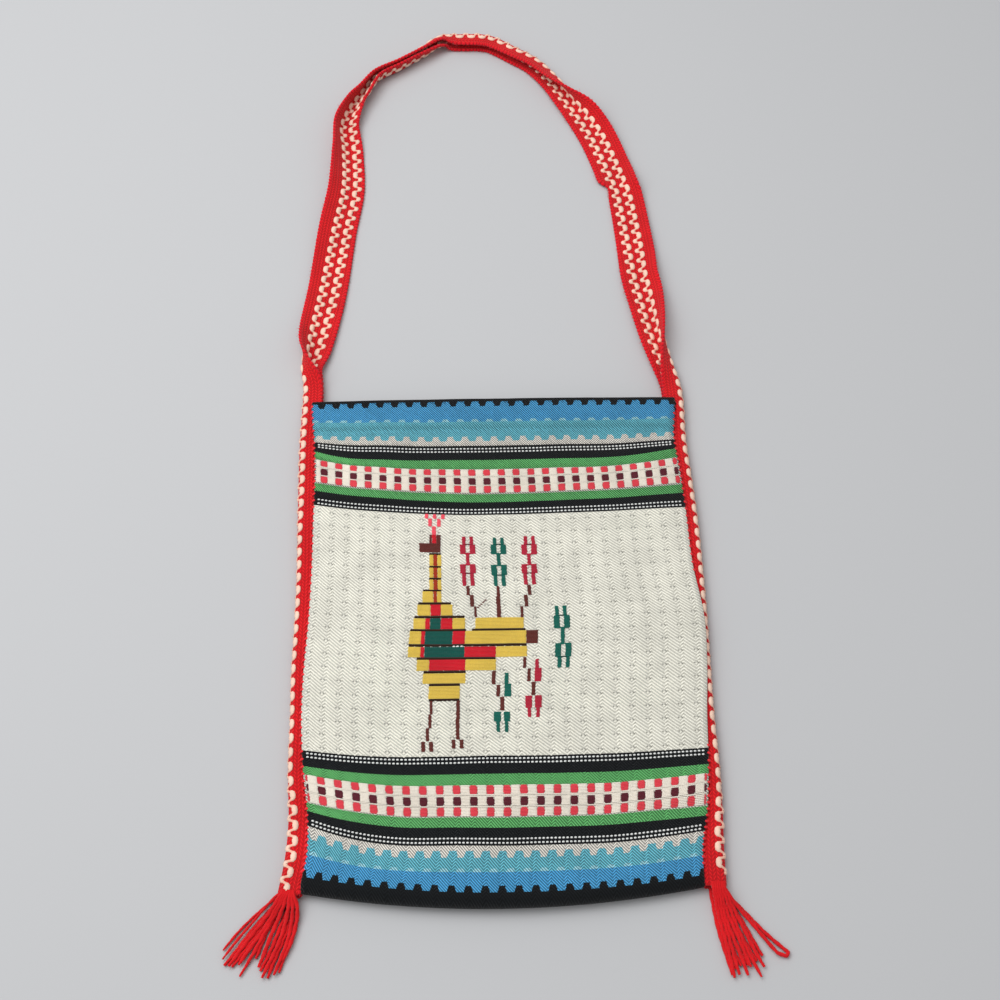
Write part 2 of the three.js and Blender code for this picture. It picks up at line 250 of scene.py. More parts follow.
cloth_sides = [2 * column / CLOTH_COLUMNS - 1 for column in range(CLOTH_COLUMNS + 1)]
crease_depths = [HEM_DEPTH + step * CREASE_STEP for step in CREASE_STEPS]
front_shares = {depth / WALL_HEIGHT for depth in (*EDGE_DEPTHS, *crease_depths)}
front_shares |= {row / FRONT_ROWS for row in range(1, FRONT_ROWS + 1)}
back_shares = {row / BACK_ROWS for row in range(BACK_ROWS)}
back_shares |= {1 - depth / WALL_HEIGHT for depth in EDGE_DEPTHS}
cloth_grid = []
cloth_halves = []
for share in sorted(front_shares):
    cloth_grid.append([])
    cloth_halves.append(half_cloth(share * WALL_HEIGHT))
    for side in cloth_sides:
        y = lerp(MOUTH_Y, bottom_of(side) + FOLD_DEPTH, share)
        x = front_x(side, y)
        point = Vector((x, y, front_height(side, x, y)))
        cloth_grid[-1].append((point, (side * HALF_CLOTH, cloth_length(side, y))))
fold_start = cloth_grid[-1]
for row in range(1, FOLD_ROWS):
    turn = math.pi * row / FOLD_ROWS
    depth = FOLD_DEPTH * math.sin(turn)
    cloth_grid.append([])
    cloth_halves.append(CLOTH / 2)
    for side, (start, (across, length)) in zip(cloth_sides, fold_start):
        radius = (start.z - CLOTH / 2) / 2
        folded_x = lerp(start.x, back_x(side, start.y), row / FOLD_ROWS)
        point = Vector((folded_x, start.y - depth, CLOTH / 2 + radius * (1 + math.cos(turn))))
        cloth_grid[-1].append((point, (across, length + depth)))
for share in sorted(back_shares):
    depth = (1 - share) * WALL_HEIGHT
    lying = lerp(CLOTH, HEM_CLOTH, hem_part(depth)) / 2
    cloth_grid.append([])
    cloth_halves.append(half_cloth(depth))
    for side in cloth_sides:
        y = lerp(bottom_of(side) + FOLD_DEPTH, MOUTH_Y, share)
        point = Vector((back_x(side, y), y, lying))
        cloth_grid[-1].append((point, (side * HALF_CLOTH, cloth_length(side, y))))

CLOTH_MAP = "cloth_millimetres"
woven_cloth = wall_piece("woven_cloth", cloth_grid, lambda row, column: cloth_halves[row], CLOTH_MAP)


class Number:
    """An output in a node tree that Python can reckon with: each step adds a node to the tree."""

    def __init__(self, socket):
        self.socket = socket
        self.tree = socket.id_data

    __add__ = lambda self, other: reckoned("ADD", self, other)
    __sub__ = lambda self, other: reckoned("SUBTRACT", self, other)
    __rsub__ = lambda self, other: reckoned("SUBTRACT", other, self)
    __mul__ = lambda self, other: reckoned("MULTIPLY", self, other)
    __truediv__ = lambda self, other: reckoned("DIVIDE", self, other)
    __gt__ = lambda self, other: reckoned("GREATER_THAN", self, other)
    __lt__ = lambda self, other: reckoned("LESS_THAN", self, other)


def add_node(tree, kind, inputs=None, **settings):
    """The outputs by name of a new node, with its settings, and its inputs set to values or linked."""
    made = tree.nodes.new(kind)
    for setting, value in settings.items():
        setattr(made, setting, value)
    for socket, value in (inputs or {}).items():
        if isinstance(value, Number):
            tree.links.new(value.socket, made.inputs[socket])
        else:
            made.inputs[socket].default_value = value
    return {socket.name: Number(socket) for socket in made.outputs if socket.enabled and socket.name}


def one(tree, kind, inputs, **settings):
    """The first output of such a new node."""
    return next(iter(add_node(tree, kind, inputs, **settings).values()))


def reckoned(operation, *values):
    tree = next(value.tree for value in values if isinstance(value, Number))
    return one(tree, "ShaderNodeMath", dict(enumerate(values)), operation=operation)


def ranged(value, low, high, to_low=0.0, to_high=1.0):
    """A value moved smoothly from one range to another, and held at its ends."""
    inputs = {"Value": value, "From Min": low, "From Max": high, "To Min": to_low, "To Max": to_high}
    return one(value.tree, "ShaderNodeMapRange", inputs, interpolation_type="SMOOTHSTEP")


def mixed(tree, factor, first, second, blend="MIX"):
    """Two colours mixed, or the first changed by the second."""
    inputs = {0: factor, 6: first, 7: second}
    return one(tree, "ShaderNodeMix", inputs, data_type="RGBA", blend_type=blend)


def chosen(factor, when_none, when_full):
    """One value or another, by a factor of 0 or 1."""
    inputs = {0: factor, 2: when_none, 3: when_full}
    return one(factor.tree, "ShaderNodeMix", inputs, data_type="FLOAT")


def dyed(red, green, blue):
    """A colour as it shows on a screen, 0 to 255, as the linear colour of a material."""
    parts = [value / 255 for value in (red, green, blue)]
    return tuple(((part + 0.055) / 1.055) ** 2.4 if part > 0.04 else part / 12.92 for part in parts) + (1.0,)


def shader_group(name, inputs, outputs):
    """A shader node group and its named inputs, which are values or, where so named, a place."""
    tree = bpy.data.node_groups.new(name, "ShaderNodeTree")
    for way, sockets in (("INPUT", inputs), ("OUTPUT", outputs)):
        for socket in sockets:
            kind = {"Place": "NodeSocketVector", "Colour": "NodeSocketColor"}.get(socket, "NodeSocketFloat")
            tree.interface.new_socket(name=socket, in_out=way, socket_type=kind)
    given = add_node(tree, "NodeGroupInput")
    return tree, *(given[socket] for socket in inputs)


def use_group(tree, group, **inputs):
    """A shader node group placed in a material, with its inputs set or linked."""
    return add_node(tree, "ShaderNodeGroup", inputs, node_tree=group)


# Wool: the look that all the yarns share. Hand-spun wool with fine fibres that catch the light, and with slow
# changes of dye from place to place.
wool_fibre, place, fineness = shader_group("wool_fibre", ("Place", "Fineness"), ("Tone", "Fuzz"))
FIBRE_TONE = (0.3, 0.7, 0.86, 1.1)
PATCH_TONE = (0.3, 0.7, 0.93, 1.05)
FIBRE_NOISE = {"Vector": place, "Scale": fineness, "Detail": 4.0, "Roughness": 0.65}
PATCH_NOISE = {"Vector": place, "Scale": 55.0, "Detail": 3.0}
fibres = one(wool_fibre, "ShaderNodeTexNoise", FIBRE_NOISE)
patches = one(wool_fibre, "ShaderNodeTexNoise", PATCH_NOISE)
wool_tone = ranged(fibres, *FIBRE_TONE) * ranged(patches, *PATCH_TONE)
add_node(wool_fibre, "NodeGroupOutput", {"Tone": wool_tone, "Fuzz": fibres})

# Woven stripes: what colour the weft has at a place of the cloth. Where two stripes meet in teeth, the teeth
# stand over the columns of the checks or between them.
CREAM = dyed(244, 242, 229)
BLACK = dyed(15, 21, 25)
BLUE = dyed(88, 184, 242)
TURQUOISE = dyed(120, 212, 232)
GREEN = dyed(114, 206, 122)
SAND = dyed(255, 250, 240)
LIGHT_BLUE = dyed(176, 240, 255)
FIELD_TOP = 99.8
FIELD_BOTTOM = 277.5
HALFWAY = 190
LIGHT_PLACE = 396
# length of cloth from the mouth at which each stripe starts, and its colour; the last one is only in teeth
STRIPES = (
    (0, BLACK), (3.2, BLUE), (21.1, TURQUOISE), (37.5, SAND), (41.7, BLACK), (54, GREEN), (61.8, CREAM),
    (82.8, GREEN), (89.3, BLACK), (FIELD_TOP, CREAM), (FIELD_BOTTOM, BLACK), (289.7, GREEN),
    (297.2, CREAM), (318.2, GREEN), (324.7, BLACK), (336.2, SAND), (339.5, TURQUOISE), (352.5, BLUE),
    (365, BLACK), (395, LIGHT_BLUE),
)
# from and to which length teeth stand, the place of the stripe whose colour they have, and at which part of
# a check column they stand
TEETH = (
    (3.2, 7.5, 3.1, 0.0),
    (18.9, 21.1, LIGHT_PLACE, 0.48),
    (33.5, 37.5, 37.6, 0.74),
    (339.5, 343.7, 339.4, 0.38),
    (350.4, 352.6, LIGHT_PLACE, 0.45),
    (361, 365, 365.1, 0.0),
)
TOOTH_BASE = -0.15
TOOTH_TIP = 0.45
# middle of one check column and pitch of the columns, in the upper and in the lower border
UPPER_COLUMNS = (2.6, 10.85)
LOWER_COLUMNS = (-0.1, 11.2)

woven_stripes, across, along = shader_group(
    "woven_stripes", ("Across", "Along"), ("Colour", "Field", "Lower")
)
lower = along > HALFWAY
column_middle, column_pitch = (chosen(lower, *values) for values in zip(UPPER_COLUMNS, LOWER_COLUMNS))
check_column = (across - column_middle) / column_pitch
toothed = along
for tooth_start, tooth_end, stripe_place, column_part in TEETH:
    tooth_wave = reckoned("COSINE", (check_column - column_part) * math.tau)
    base, tip = (tooth_start, tooth_end) if stripe_place < tooth_start else (tooth_end, tooth_start)
    in_tooth = tooth_wave > ranged(along, base, tip, TOOTH_BASE, TOOTH_TIP)
    toothed = chosen((along > tooth_start) * (along < tooth_end) * in_tooth, toothed, stripe_place)
stripe_colour = STRIPES[0][1]
for start, colour in STRIPES[1:]:
    stripe_colour = mixed(woven_stripes, toothed > start, stripe_colour, colour)
in_field = (along > FIELD_TOP) * (along < FIELD_BOTTOM)
add_node(woven_stripes, "NodeGroupOutput", {"Colour": stripe_colour, "Field": in_field, "Lower": lower})

# Eyed twill: slanting lines of weft. In the cream field, and more finely in the lower stripes, each line
# turns back for the last part of every repeat, and in the field an eye is left at every fourth turn. Round
# each eye lies a painted shadow ring, darker on one side.
REPEAT = 10.8
LONG_PART = 0.78
FIELD_PITCH = 2.36
FIELD_JUMP = 2
BORDER_PITCH = 2
BORDER_JUMP = 3
EYE_EVERY = 4
EYE_ROW = 1.3
EYE_PITCH = EYE_EVERY * FIELD_PITCH
EYE_EDGE = (0.65, 0.95)
RING_EDGE = (2.05, 1.55)
RING_SHADE = (1.2, -0.6, 0.3, 1.0)
LINE_EDGE = (0.1, 1.0)
STRAIGHT_SLOPE = 1.1
FIELD_RUN = FIELD_JUMP * FIELD_PITCH / (2 * LONG_PART - 1)
BORDER_RUN = BORDER_JUMP * BORDER_PITCH / (2 * LONG_PART - 1)
FIELD_START = EYE_ROW - LONG_PART * FIELD_RUN
eyed_twill, across, along, field, lower = shader_group(
    "eyed_twill", ("Across", "Along", "Field", "Lower"), ("Line", "Eye", "Shadow Ring")
)
repeat_part = reckoned("FRACT", across / REPEAT)
folded_part = reckoned("MINIMUM", repeat_part, 2 * LONG_PART - repeat_part)
border_run = chosen(lower, across * STRAIGHT_SLOPE, folded_part * BORDER_RUN)
twill_run = chosen(field, border_run, folded_part * FIELD_RUN + FIELD_START)
line_number = (along - twill_run) / chosen(field, BORDER_PITCH, FIELD_PITCH)
line_wave = reckoned("COSINE", line_number * math.tau)
eye_across = (repeat_part - LONG_PART) * REPEAT
eye_along = (reckoned("FRACT", (along - EYE_ROW) / EYE_PITCH + 0.5) - 0.5) * EYE_PITCH
eye_reach = reckoned("SQRT", eye_along * eye_along + eye_across * eye_across)
# Painted shadow: a dark ring round each eye, darker on one side by RING_SHADE.
eye_shadow_ring = ranged(eye_reach, *EYE_EDGE) * ranged(eye_reach, *RING_EDGE)
ring_shade = ranged(eye_along, *RING_SHADE)
add_node(eyed_twill, "NodeGroupOutput", {
    "Line": ranged(line_wave, *LINE_EDGE),
    "Eye": ranged(eye_reach, *reversed(EYE_EDGE)) * field,
    "Shadow Ring": eye_shadow_ring * ring_shade * field,
})
WOOL = {"Roughness": 0.88, "Specular IOR Level": 0.2, "Sheen Roughness": 0.45}
RELIEF_STRENGTH = 0.8


def wool_material(name, sheen):
    """A new material with the shader of wool, and the place on the object."""
    material = bpy.data.materials.new(name)
    material.use_nodes = True
    tree = material.node_tree
    tree.nodes.clear()
    shader = tree.nodes.new("ShaderNodeBsdfPrincipled")
    for setting, value in {**WOOL, "Sheen Weight": sheen}.items():
        shader.inputs[setting].default_value = value
    add_node(tree, "ShaderNodeOutputMaterial", {"Surface": Number(shader.outputs["BSDF"])})
    return material, tree, shader.inputs, add_node(tree, "ShaderNodeTexCoord")["Object"]


def finish_wool(tree, shader, colour, tone, height, depth):
    """The colour of the wool made lighter or darker by a tone near 1, and its fine relief."""
    grey = one(tree, "ShaderNodeCombineColor", {"Red": tone, "Green": tone, "Blue": tone})
    tree.links.new(mixed(tree, 1.0, colour, grey, "MULTIPLY").socket, shader["Base Color"])
    relief = {"Height": height, "Strength": RELIEF_STRENGTH, "Distance": depth * MM}
    tree.links.new(one(tree, "ShaderNodeBump", relief).socket, shader["Normal"])


def stripes_and_twill(tree, cloth_place):
    """The stripes and the twill at a place of the cloth."""
    across, along, _ = add_node(tree, "ShaderNodeSeparateXYZ", {"Vector": cloth_place}).values()
    stripes = use_group(tree, woven_stripes, Across=across, Along=along)
    lie = {"Field": stripes["Field"], "Lower": stripes["Lower"]}
    return stripes, use_group(tree, eyed_twill, Across=across, Along=along, **lie)


CLOTH_FIBRES = 1500.0
CLOTH_SHEEN = 0.12
# Painted shade: between the twill lines and in the rings round the eyes the cloth is darkened to these tones,
# as the shadow between raised floats; darkest in the upper borders, lightest in the field.
FIELD_GAP_SHADE = 0.6
UPPER_GAP_SHADE = 0.16
LOWER_GAP_SHADE = 0.3
CLOTH_FUZZ = 0.35
CLOTH_RELIEF = 0.35
cloth_wool, tree, shader, place = wool_material("cloth_wool", CLOTH_SHEEN)
stripes, twill = stripes_and_twill(tree, add_node(tree, "ShaderNodeUVMap", uv_map=CLOTH_MAP)["UV"])
line = reckoned("MAXIMUM", twill["Line"] * (1.0 - twill["Shadow Ring"]), twill["Eye"])
fibre = use_group(tree, wool_fibre, Place=place, Fineness=CLOTH_FIBRES)
# Painted shade and random fibre tone: the cloth is darkened towards the gap tone where the twill line is low.
gap_shade_tone = chosen(stripes["Field"], chosen(stripes["Lower"], UPPER_GAP_SHADE, LOWER_GAP_SHADE), FIELD_GAP_SHADE)
twill_shade_and_fibre_tone = ranged(line, 0, 1, gap_shade_tone, 1.0) * fibre["Tone"]
finish_wool(tree, shader, stripes["Colour"], twill_shade_and_fibre_tone, fibre["Fuzz"] * CLOTH_FUZZ + line, CLOTH_RELIEF)
woven_cloth.data.materials.append(cloth_wool)

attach(woven_cloth, "root")
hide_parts("cloth_body")

# Laid wool: yarns that lie on the cloth or the band are made from lines of points, each with the way its yarn
# faces and its half width there, and with one more value that says its dye, which on the band's wave links
# and selvedge grooves is a darker colour for painted shade.
FACING_CELL = 6


def on_front(across, length):
    """A point on the outer face of the front wall, at a place of the cloth."""
    side = clamp(across / HALF_CLOTH, -1, 1)
    y = MOUTH_Y - length + weft_rise(side, length)
    x = front_x(side, y)
    return Vector((x, y, front_height(side, x, y) + half_cloth(MOUTH_Y - y)))


@functools.lru_cache(maxsize=None)
def cell_facing(column, row):
    across = column * FACING_CELL
    length = row * FACING_CELL
    here = on_front(across, length)
    inward = -1 if column > 0 else 1
    sideways = (on_front(across + inward, length) - here) * inward
    return sideways.cross(here - on_front(across, length + 1)).normalized()


def front_facing(across, length):
    """The way the outer face of the front wall faces, near a place of the cloth."""
    return cell_facing(round(across / FACING_CELL), round(length / FACING_CELL))


def geometry_tree(name, **inputs):
    """A Geometry Nodes tree with named inputs after its geometry, and those inputs."""
    tree = bpy.data.node_groups.new(name, "GeometryNodeTree")
    for socket, kind in {"Geometry": "Geometry", **inputs}.items():
        tree.interface.new_socket(name=socket, in_out="INPUT", socket_type="NodeSocket" + kind)
    tree.interface.new_socket(name="Geometry", in_out="OUTPUT", socket_type="NodeSocketGeometry")
    return tree, *add_node(tree, "NodeGroupInput").values()


def yarn_along(tree, line, ring, wool):
    """A ring swept along lines by their girth, then Realize Instances, smooth shading and Set Material."""
    girth = one(tree, "GeometryNodeInputNamedAttribute", {"Name": "girth"}, data_type="FLOAT")
    swept = {"Curve": line, "Profile Curve": ring, "Scale": girth, "Fill Caps": True}
    yarn = one(tree, "GeometryNodeCurveToMesh", swept)
    real = one(tree, "GeometryNodeRealizeInstances", {0: yarn})
    shaded = one(tree, "GeometryNodeSetShadeSmooth", {0: real})
    finished = one(tree, "GeometryNodeSetMaterial", {0: shaded, "Material": wool})
    add_node(tree, "NodeGroupOutput", {0: finished})


def made_by_nodes(name, lines, tree, dye_name="dye", **values):
    """What a tree makes of lines of points with facing, half width and dye, its inputs given by name."""
    points = [point for line in lines for point in line]
    edges = []
    first = 0
    for line in lines:
        edges += [(index, index + 1) for index in range(first, first + len(line) - 1)]
        first += len(line)
    mesh = bpy.data.meshes.new(name + "_lines")
    mesh.from_pydata([point[0] * MM for point in points], edges, [])
    dye_kind = ("FLOAT_COLOR", "color") if dye_name == "dye" else ("FLOAT_VECTOR", "vector")
    layers = (("facing", "FLOAT_VECTOR", "vector"), ("girth", "FLOAT", "value"), (dye_name, *dye_kind))
    for column, (attribute, kind, field) in enumerate(layers, 1):
        given = [point[column] for point in points]
        flat = given if kind == "FLOAT" else [part for value in given for part in value]
        mesh.attributes.new(attribute, kind, "POINT").data.foreach_set(field, flat)
    piece = place_piece(name, mesh)
    modifier = piece.modifiers.new("nodes", "NODES")
    modifier.node_group = tree
    for item in tree.interface.items_tree:
        if item.in_out == "INPUT" and item.name in values:
            modifier[item.identifier] = values[item.name]
    made = bpy.data.meshes.new_from_object(piece.evaluated_get(bpy.context.evaluated_depsgraph_get()))
    piece.modifiers.remove(modifier)
    piece.data = made
    made.name = name
    bpy.data.meshes.remove(mesh)
    return piece


laid_yarn, lines, sides, flatness, wool = geometry_tree(
    "laid_yarn", Sides="Int", Flatness="Float", Wool="Material"
)
line = one(laid_yarn, "GeometryNodeMeshToCurve", {"Mesh": lines})
facing = one(
    laid_yarn, "GeometryNodeInputNamedAttribute", {"Name": "facing"}, data_type="FLOAT_VECTOR"
)
line = one(laid_yarn, "GeometryNodeSetCurveNormal", {"Curve": line, "Normal": facing}, mode="FREE")
ring = one(laid_yarn, "GeometryNodeCurvePrimitiveCircle", {"Resolution": sides, "Radius": MM})
flat = one(laid_yarn, "ShaderNodeCombineXYZ", {"X": flatness, "Y": 1.0, "Z": 1.0})
ring = one(laid_yarn, "GeometryNodeTransform", {"Geometry": ring, "Scale": flat})
yarn_along(laid_yarn, line, ring, wool)

# Checks: three rows of squares in each border, inlaid with dyed wool by hand while the cloth was woven, with
# squares of cream between them. Each square is a stack of short wefts that dip a little between the warps.
WEFT_PITCH = 0.95
WARP_PITCH = 1.35
WEFT_SIDES = 4
WEFT_FLATNESS = 0.74
WEFT_GIRTH = 0.58
# rise and share of the half width of a weft over a warp, between two warps and at its ends
WEFT_TOP = (0.25, 1)
WEFT_DIP = (0.13, 0.88)
WEFT_END = (0.02, 0.7)
RAGGED = 0.22
CHECK_WIDTH = 5.2
CHECK_CORNER = 0.5
SMALLEST_CHECK = 1
CHECK_NUMBERS = range(-12, 14)
CLOTH_REACH = 133.4
CREAM_OVERLAP = 0.1
SEAM_GIRTH = 0.46
CHECK_RED = dyed(227, 69, 82)
CHECK_MAROON = dyed(97, 30, 44)
CHECK_CREAM = dyed(238, 230, 217)
# top, bottom and colour of each row of squares, for each border's columns
CHECKS = (
    (UPPER_COLUMNS, ((62.3, 67.3, CHECK_RED), (69.4, 74.8, CHECK_MAROON), (76, 81.6, CHECK_RED))),
    (LOWER_COLUMNS, ((297.3, 303, CHECK_RED), (305, 310.5, CHECK_MAROON), (311.9, 317.5, CHECK_RED))),
)
ragged_ends = random.Random("ragged ends")
figure_blocks = []


def add_weft(yarns, left, right, length, girth, dye):
    """One inlaid weft from left to right, over and between the warps."""
    last = 2 * max(1, round((right - left) / WARP_PITCH))
    line = []
    for step in range(last + 1):
        across = lerp(left, right, step / last)
        facing = front_facing(across, length)
        rise, share = WEFT_END if step in (0, last) else WEFT_TOP if step % 2 else WEFT_DIP
        line.append((on_front(across, length) + facing * rise, facing, girth * share, dye))
    yarns.append(line)


def add_block(yarns, left, right, top, bottom, dye, corner=0):
    """A block of colour: wefts one below the other, with slightly ragged ends and blunt corners."""
    count = max(1, round((bottom - top) / WEFT_PITCH))
    pitch = (bottom - top) / count
    figure_blocks.append((left, right, top, bottom))
    for row in range(count):
        start, end = (end + ragged_ends.uniform(-RAGGED, RAGGED) for end in (left, right))
        blunt = corner if row in (0, count - 1) else 0
        girth = WEFT_GIRTH * pitch / WEFT_PITCH
        add_weft(yarns, start + blunt, end - blunt, top + (row + 0.5) * pitch, girth, dye)


check_lines = []
for (middle, pitch), rows in CHECKS:
    for (_, above, _), (below, _, _) in zip(rows, rows[1:]):
        count = round((below - above) / WEFT_PITCH)
        for row in range(count):
            length = lerp(above, below, (row + 0.5) / count)
            add_weft(check_lines, -CLOTH_REACH, CLOTH_REACH, length, SEAM_GIRTH, CHECK_CREAM)
    for number in CHECK_NUMBERS:
        left = max(middle + number * pitch - CHECK_WIDTH / 2, -CLOTH_REACH)
        right = min(middle + number * pitch + CHECK_WIDTH / 2, CLOTH_REACH)
        before = max(middle + (number - 1) * pitch + CHECK_WIDTH / 2, -CLOTH_REACH)
        cream_end = min(left, CLOTH_REACH)
        for top, bottom, colour in rows:
            if right - left > SMALLEST_CHECK:
                add_block(check_lines, left, right, top, bottom, colour, CHECK_CORNER)
            if cream_end - before > SMALLEST_CHECK:
                cream_rows = (top - CREAM_OVERLAP, bottom + CREAM_OVERLAP)
                add_block(check_lines, before, cream_end, *cream_rows, CHECK_CREAM)

YARN_FIBRES = 1900.0
YARN_RELIEF = 0.2
inlay_wool, tree, shader, place = wool_material("inlay_wool", CLOTH_SHEEN)
dye = add_node(tree, "ShaderNodeAttribute", attribute_name="dye")["Color"]
fibre = use_group(tree, wool_fibre, Place=place, Fineness=YARN_FIBRES)
finish_wool(tree, shader, dye, fibre["Tone"], fibre["Fuzz"], YARN_RELIEF)
INLAY = {"Sides": WEFT_SIDES, "Flatness": WEFT_FLATNESS, "Wool": inlay_wool}
check_wefts = made_by_nodes("check_wefts", check_lines, laid_yarn, **INLAY)
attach(check_wefts, "root")

# Dotted lines: two rows of white wool dots beside each black stripe, inlaid while the cloth was woven. Each
# dot is one weft over two warps.
DOT_ROWS = (44.4, 47.0, 95.5, 98.1, 279.4, 282.0, 331.8, 334.4)
DOT_NUMBERS = range(-49, 49)
DOT_PITCH = REPEAT / 4
DOT_GIRTH = 0.62
DOT_WHITE = dyed(236, 238, 236)
# place across from the middle of a dot, rise and share of its half width
DOT = ((-0.85, 0, 0.6), (-0.34, 0.16, 1), (0.34, 0.16, 1), (0.85, 0, 0.6))
dot_lines = []
for length in DOT_ROWS:
    for number in DOT_NUMBERS:
        middle = (number + 0.5) * DOT_PITCH
        facing = front_facing(middle, length)
        dot_lines.append([
            (on_front(middle + off, length) + facing * rise, facing, DOT_GIRTH * share, DOT_WHITE)
            for off, rise, share in DOT
        ])
dotted_lines = made_by_nodes("dotted_lines", dot_lines, laid_yarn, **INLAY)
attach(dotted_lines, "root")

# Bird: a folk figure with crest, striped neck, stepped body and flower plumes, inlaid in the field in the
# same way. Charted in millimetres: across from the neck's middle, and length of cloth from the mouth.
NECK_ACROSS = -47.3
YELLOW = dyed(228, 197, 86)
BODY_RED = dyed(212, 26, 44)
BODY_GREEN = dyed(10, 88, 78)
BROWN = dyed(104, 46, 40)
NECK_BROWN = dyed(176, 56, 26)
LINE_BROWN = dyed(48, 30, 18)
PLUME_RED = dyed(186, 38, 63)
PLUME_GREEN = dyed(16, 104, 90)
CREST_PINK = dyed(252, 92, 110)
DARK_PLUME = {PLUME_RED: dyed(96, 22, 34), PLUME_GREEN: dyed(10, 58, 52)}
BODY_LINE = 1.0
PLUME_LINE = 0.5
# top and bottom of each row of the body, then left, right and colour of its blocks
BODY_ROWS = (
    (159.9, 168.3, (-9.5, -1.9, YELLOW), (-1.9, 0.5, NECK_BROWN), (0.5, 3.6, YELLOW)),
    (169.9, 178, (-13.1, -4, YELLOW), (-4, 2.9, BODY_RED), (2.9, 10.9, YELLOW)),
    (
        180, 188, (-15.5, -7.5, YELLOW), (-7.5, -4.3, BODY_RED), (-4.3, 3, BODY_GREEN), (3, 10.9, BODY_RED),
        (10.9, 19.3, YELLOW), (26.2, 58.8, YELLOW),
    ),
    (
        189.5, 199, (-17.9, -9.9, YELLOW), (-9.9, -7.3, BODY_RED), (-7.3, 11.2, BODY_GREEN),
        (11.2, 19.6, BODY_RED), (19.6, 60.6, YELLOW), (60.6, 68.5, BROWN),
    ),
    (
        201, 208.6, (-18, -9.7, YELLOW), (-9.7, -7.1, BODY_RED), (-7.1, 19.6, BODY_GREEN),
        (19.6, 40.6, BODY_RED), (40.6, 61.4, YELLOW),
    ),
    (210.3, 218.1, (-11.8, -3.5, YELLOW), (-3.5, 20.6, BODY_RED), (20.6, 40.9, YELLOW)),
    (220.1, 227.3, (-7.3, 21.1, YELLOW)),
    (229.1, 238, (-3, 17.7, YELLOW)),
)
# dark lines over and under the rows of the body and across the neck: left, right and length
DARK_LINES = (
    (-4, 4.4, 131.2), (-4.2, 4.2, 141), (-4.5, 4, 150.2), (-9, 3.6, 159.4), (-12.5, 10, 169),
    (-15, 19, 179), (-17.5, 20, 188.8), (24, 60, 188.8), (-18, 61, 199.9), (-12, 40.5, 209.5),
    (-7, 21, 219.1), (-3, 17.6, 228.2), (-2.8, 17.4, 238.7),
)
# colour of the next blocks of crest, head, neck, legs and stems, then left, right, top and bottom of each
BIRD_BLOCKS = (
    (CREST_PINK, (
        (-6.7, -4.2, 99.7, 103.3), (-0.9, 1.6, 99.7, 103.3), (5, 7.5, 99.7, 103.3),
        (-4.3, -1.7, 103.3, 109.4), (2, 4.5, 103.3, 109.4), (-1.8, 1.1, 109.4, 116),
    )),
    (BROWN, ((-3.7, -1.9, 116, 122.9),)),
    (BODY_RED, ((-1.9, 1.3, 116, 122.9),)),
    (BROWN, ((1.3, 4.3, 116, 122.9), (-11, 4.1, 123, 129.9))),
    (YELLOW, ((-4, -1.1, 131.8, 140.4),)),
    (NECK_BROWN, ((-1.1, 1.6, 130.4, 140.4),)),
    (YELLOW, ((1.6, 4.5, 131.8, 140.4), (-4.2, -1.3, 141.6, 149.6))),
    (NECK_BROWN, ((-1.3, 1.5, 141.6, 149.6),)),
    (YELLOW, ((1.5, 4.2, 141.6, 149.6), (-4.5, -1.6, 150.8, 159))),
    (NECK_BROWN, ((-1.6, 1.3, 150.8, 159),)),
    (YELLOW, ((1.3, 3.9, 150.8, 159),)),
    (BROWN, (
        (-2.1, -0.2, 239.3, 248.3), (-3, -0.8, 248.3, 258.1), (-4.9, -2.7, 258.1, 267),
        (-8.3, -5.6, 267.5, 274.2), (-3, -0.3, 267.5, 274.2), (15.4, 17.9, 239.3, 252),
        (15, 17.5, 252, 266.2), (12, 14.5, 266.4, 272.3), (17.2, 19.8, 266.4, 272.3),
        (20.9, 23.3, 155.6, 162.6), (22.9, 25.7, 162.6, 171.5), (25.6, 27.3, 171.5, 179.5),
        (41.7, 43.8, 156, 164), (40.8, 43.7, 164, 180), (63, 65.5, 155.3, 162.9),
        (60.1, 62.5, 162.9, 171.7), (56.9, 58.9, 171.7, 180.3), (58.9, 61, 209.1, 216.8),
        (61.9, 64.2, 217.3, 226.2), (64.9, 67.6, 226.8, 236),
    )),
    (PLUME_RED, (
        (66.9, 69.3, 210.6, 217.1), (66.7, 71.3, 217.1, 226.5), (61.1, 65.5, 236.4, 244.9),
        (67.4, 72, 236.4, 244.9), (62.6, 64.9, 244.9, 251.4), (68.3, 70.7, 244.9, 251.4),
    )),
    (BROWN, ((38.4, 41, 218.6, 228), (41.7, 44.2, 228.5, 236.6), (44.4, 47.2, 237, 246.3))),
    (PLUME_GREEN, (
        (46.9, 49.6, 220, 227.7), (47, 51.6, 227.7, 236.7), (40.2, 45, 247.3, 254),
        (47, 51.2, 247.3, 254), (41.8, 44.3, 254, 261.4), (47.3, 49.8, 254, 261.4),
    )),
)
# plumes: middle at the top and at the bottom, then the lengths where tips, wide petals, link, lower wide
# petals and lower tips start, and where the plume ends
PLUMES = (
    (23.5, 22.6, 117.2, 123.5, 130.8, 138.9, 145.8, 155.4, PLUME_RED),
    (45.3, 44.3, 118.1, 123.7, 131.2, 139.6, 147.5, 156, PLUME_GREEN),
    (67.5, 65, 117.4, 124, 132, 139.5, 146.4, 155.1, PLUME_RED),
    (84.1, 86, 171.8, 178.9, 188.5, 199.6, 209.5, 217.4, PLUME_GREEN),
)
# inner and outer edge of each pair of petals, from the middle of the plume
PETALS = ((1.4, 4), (1.4, 5.5), (0, 1.35), (1.4, 5.5), (1.4, 4.2))
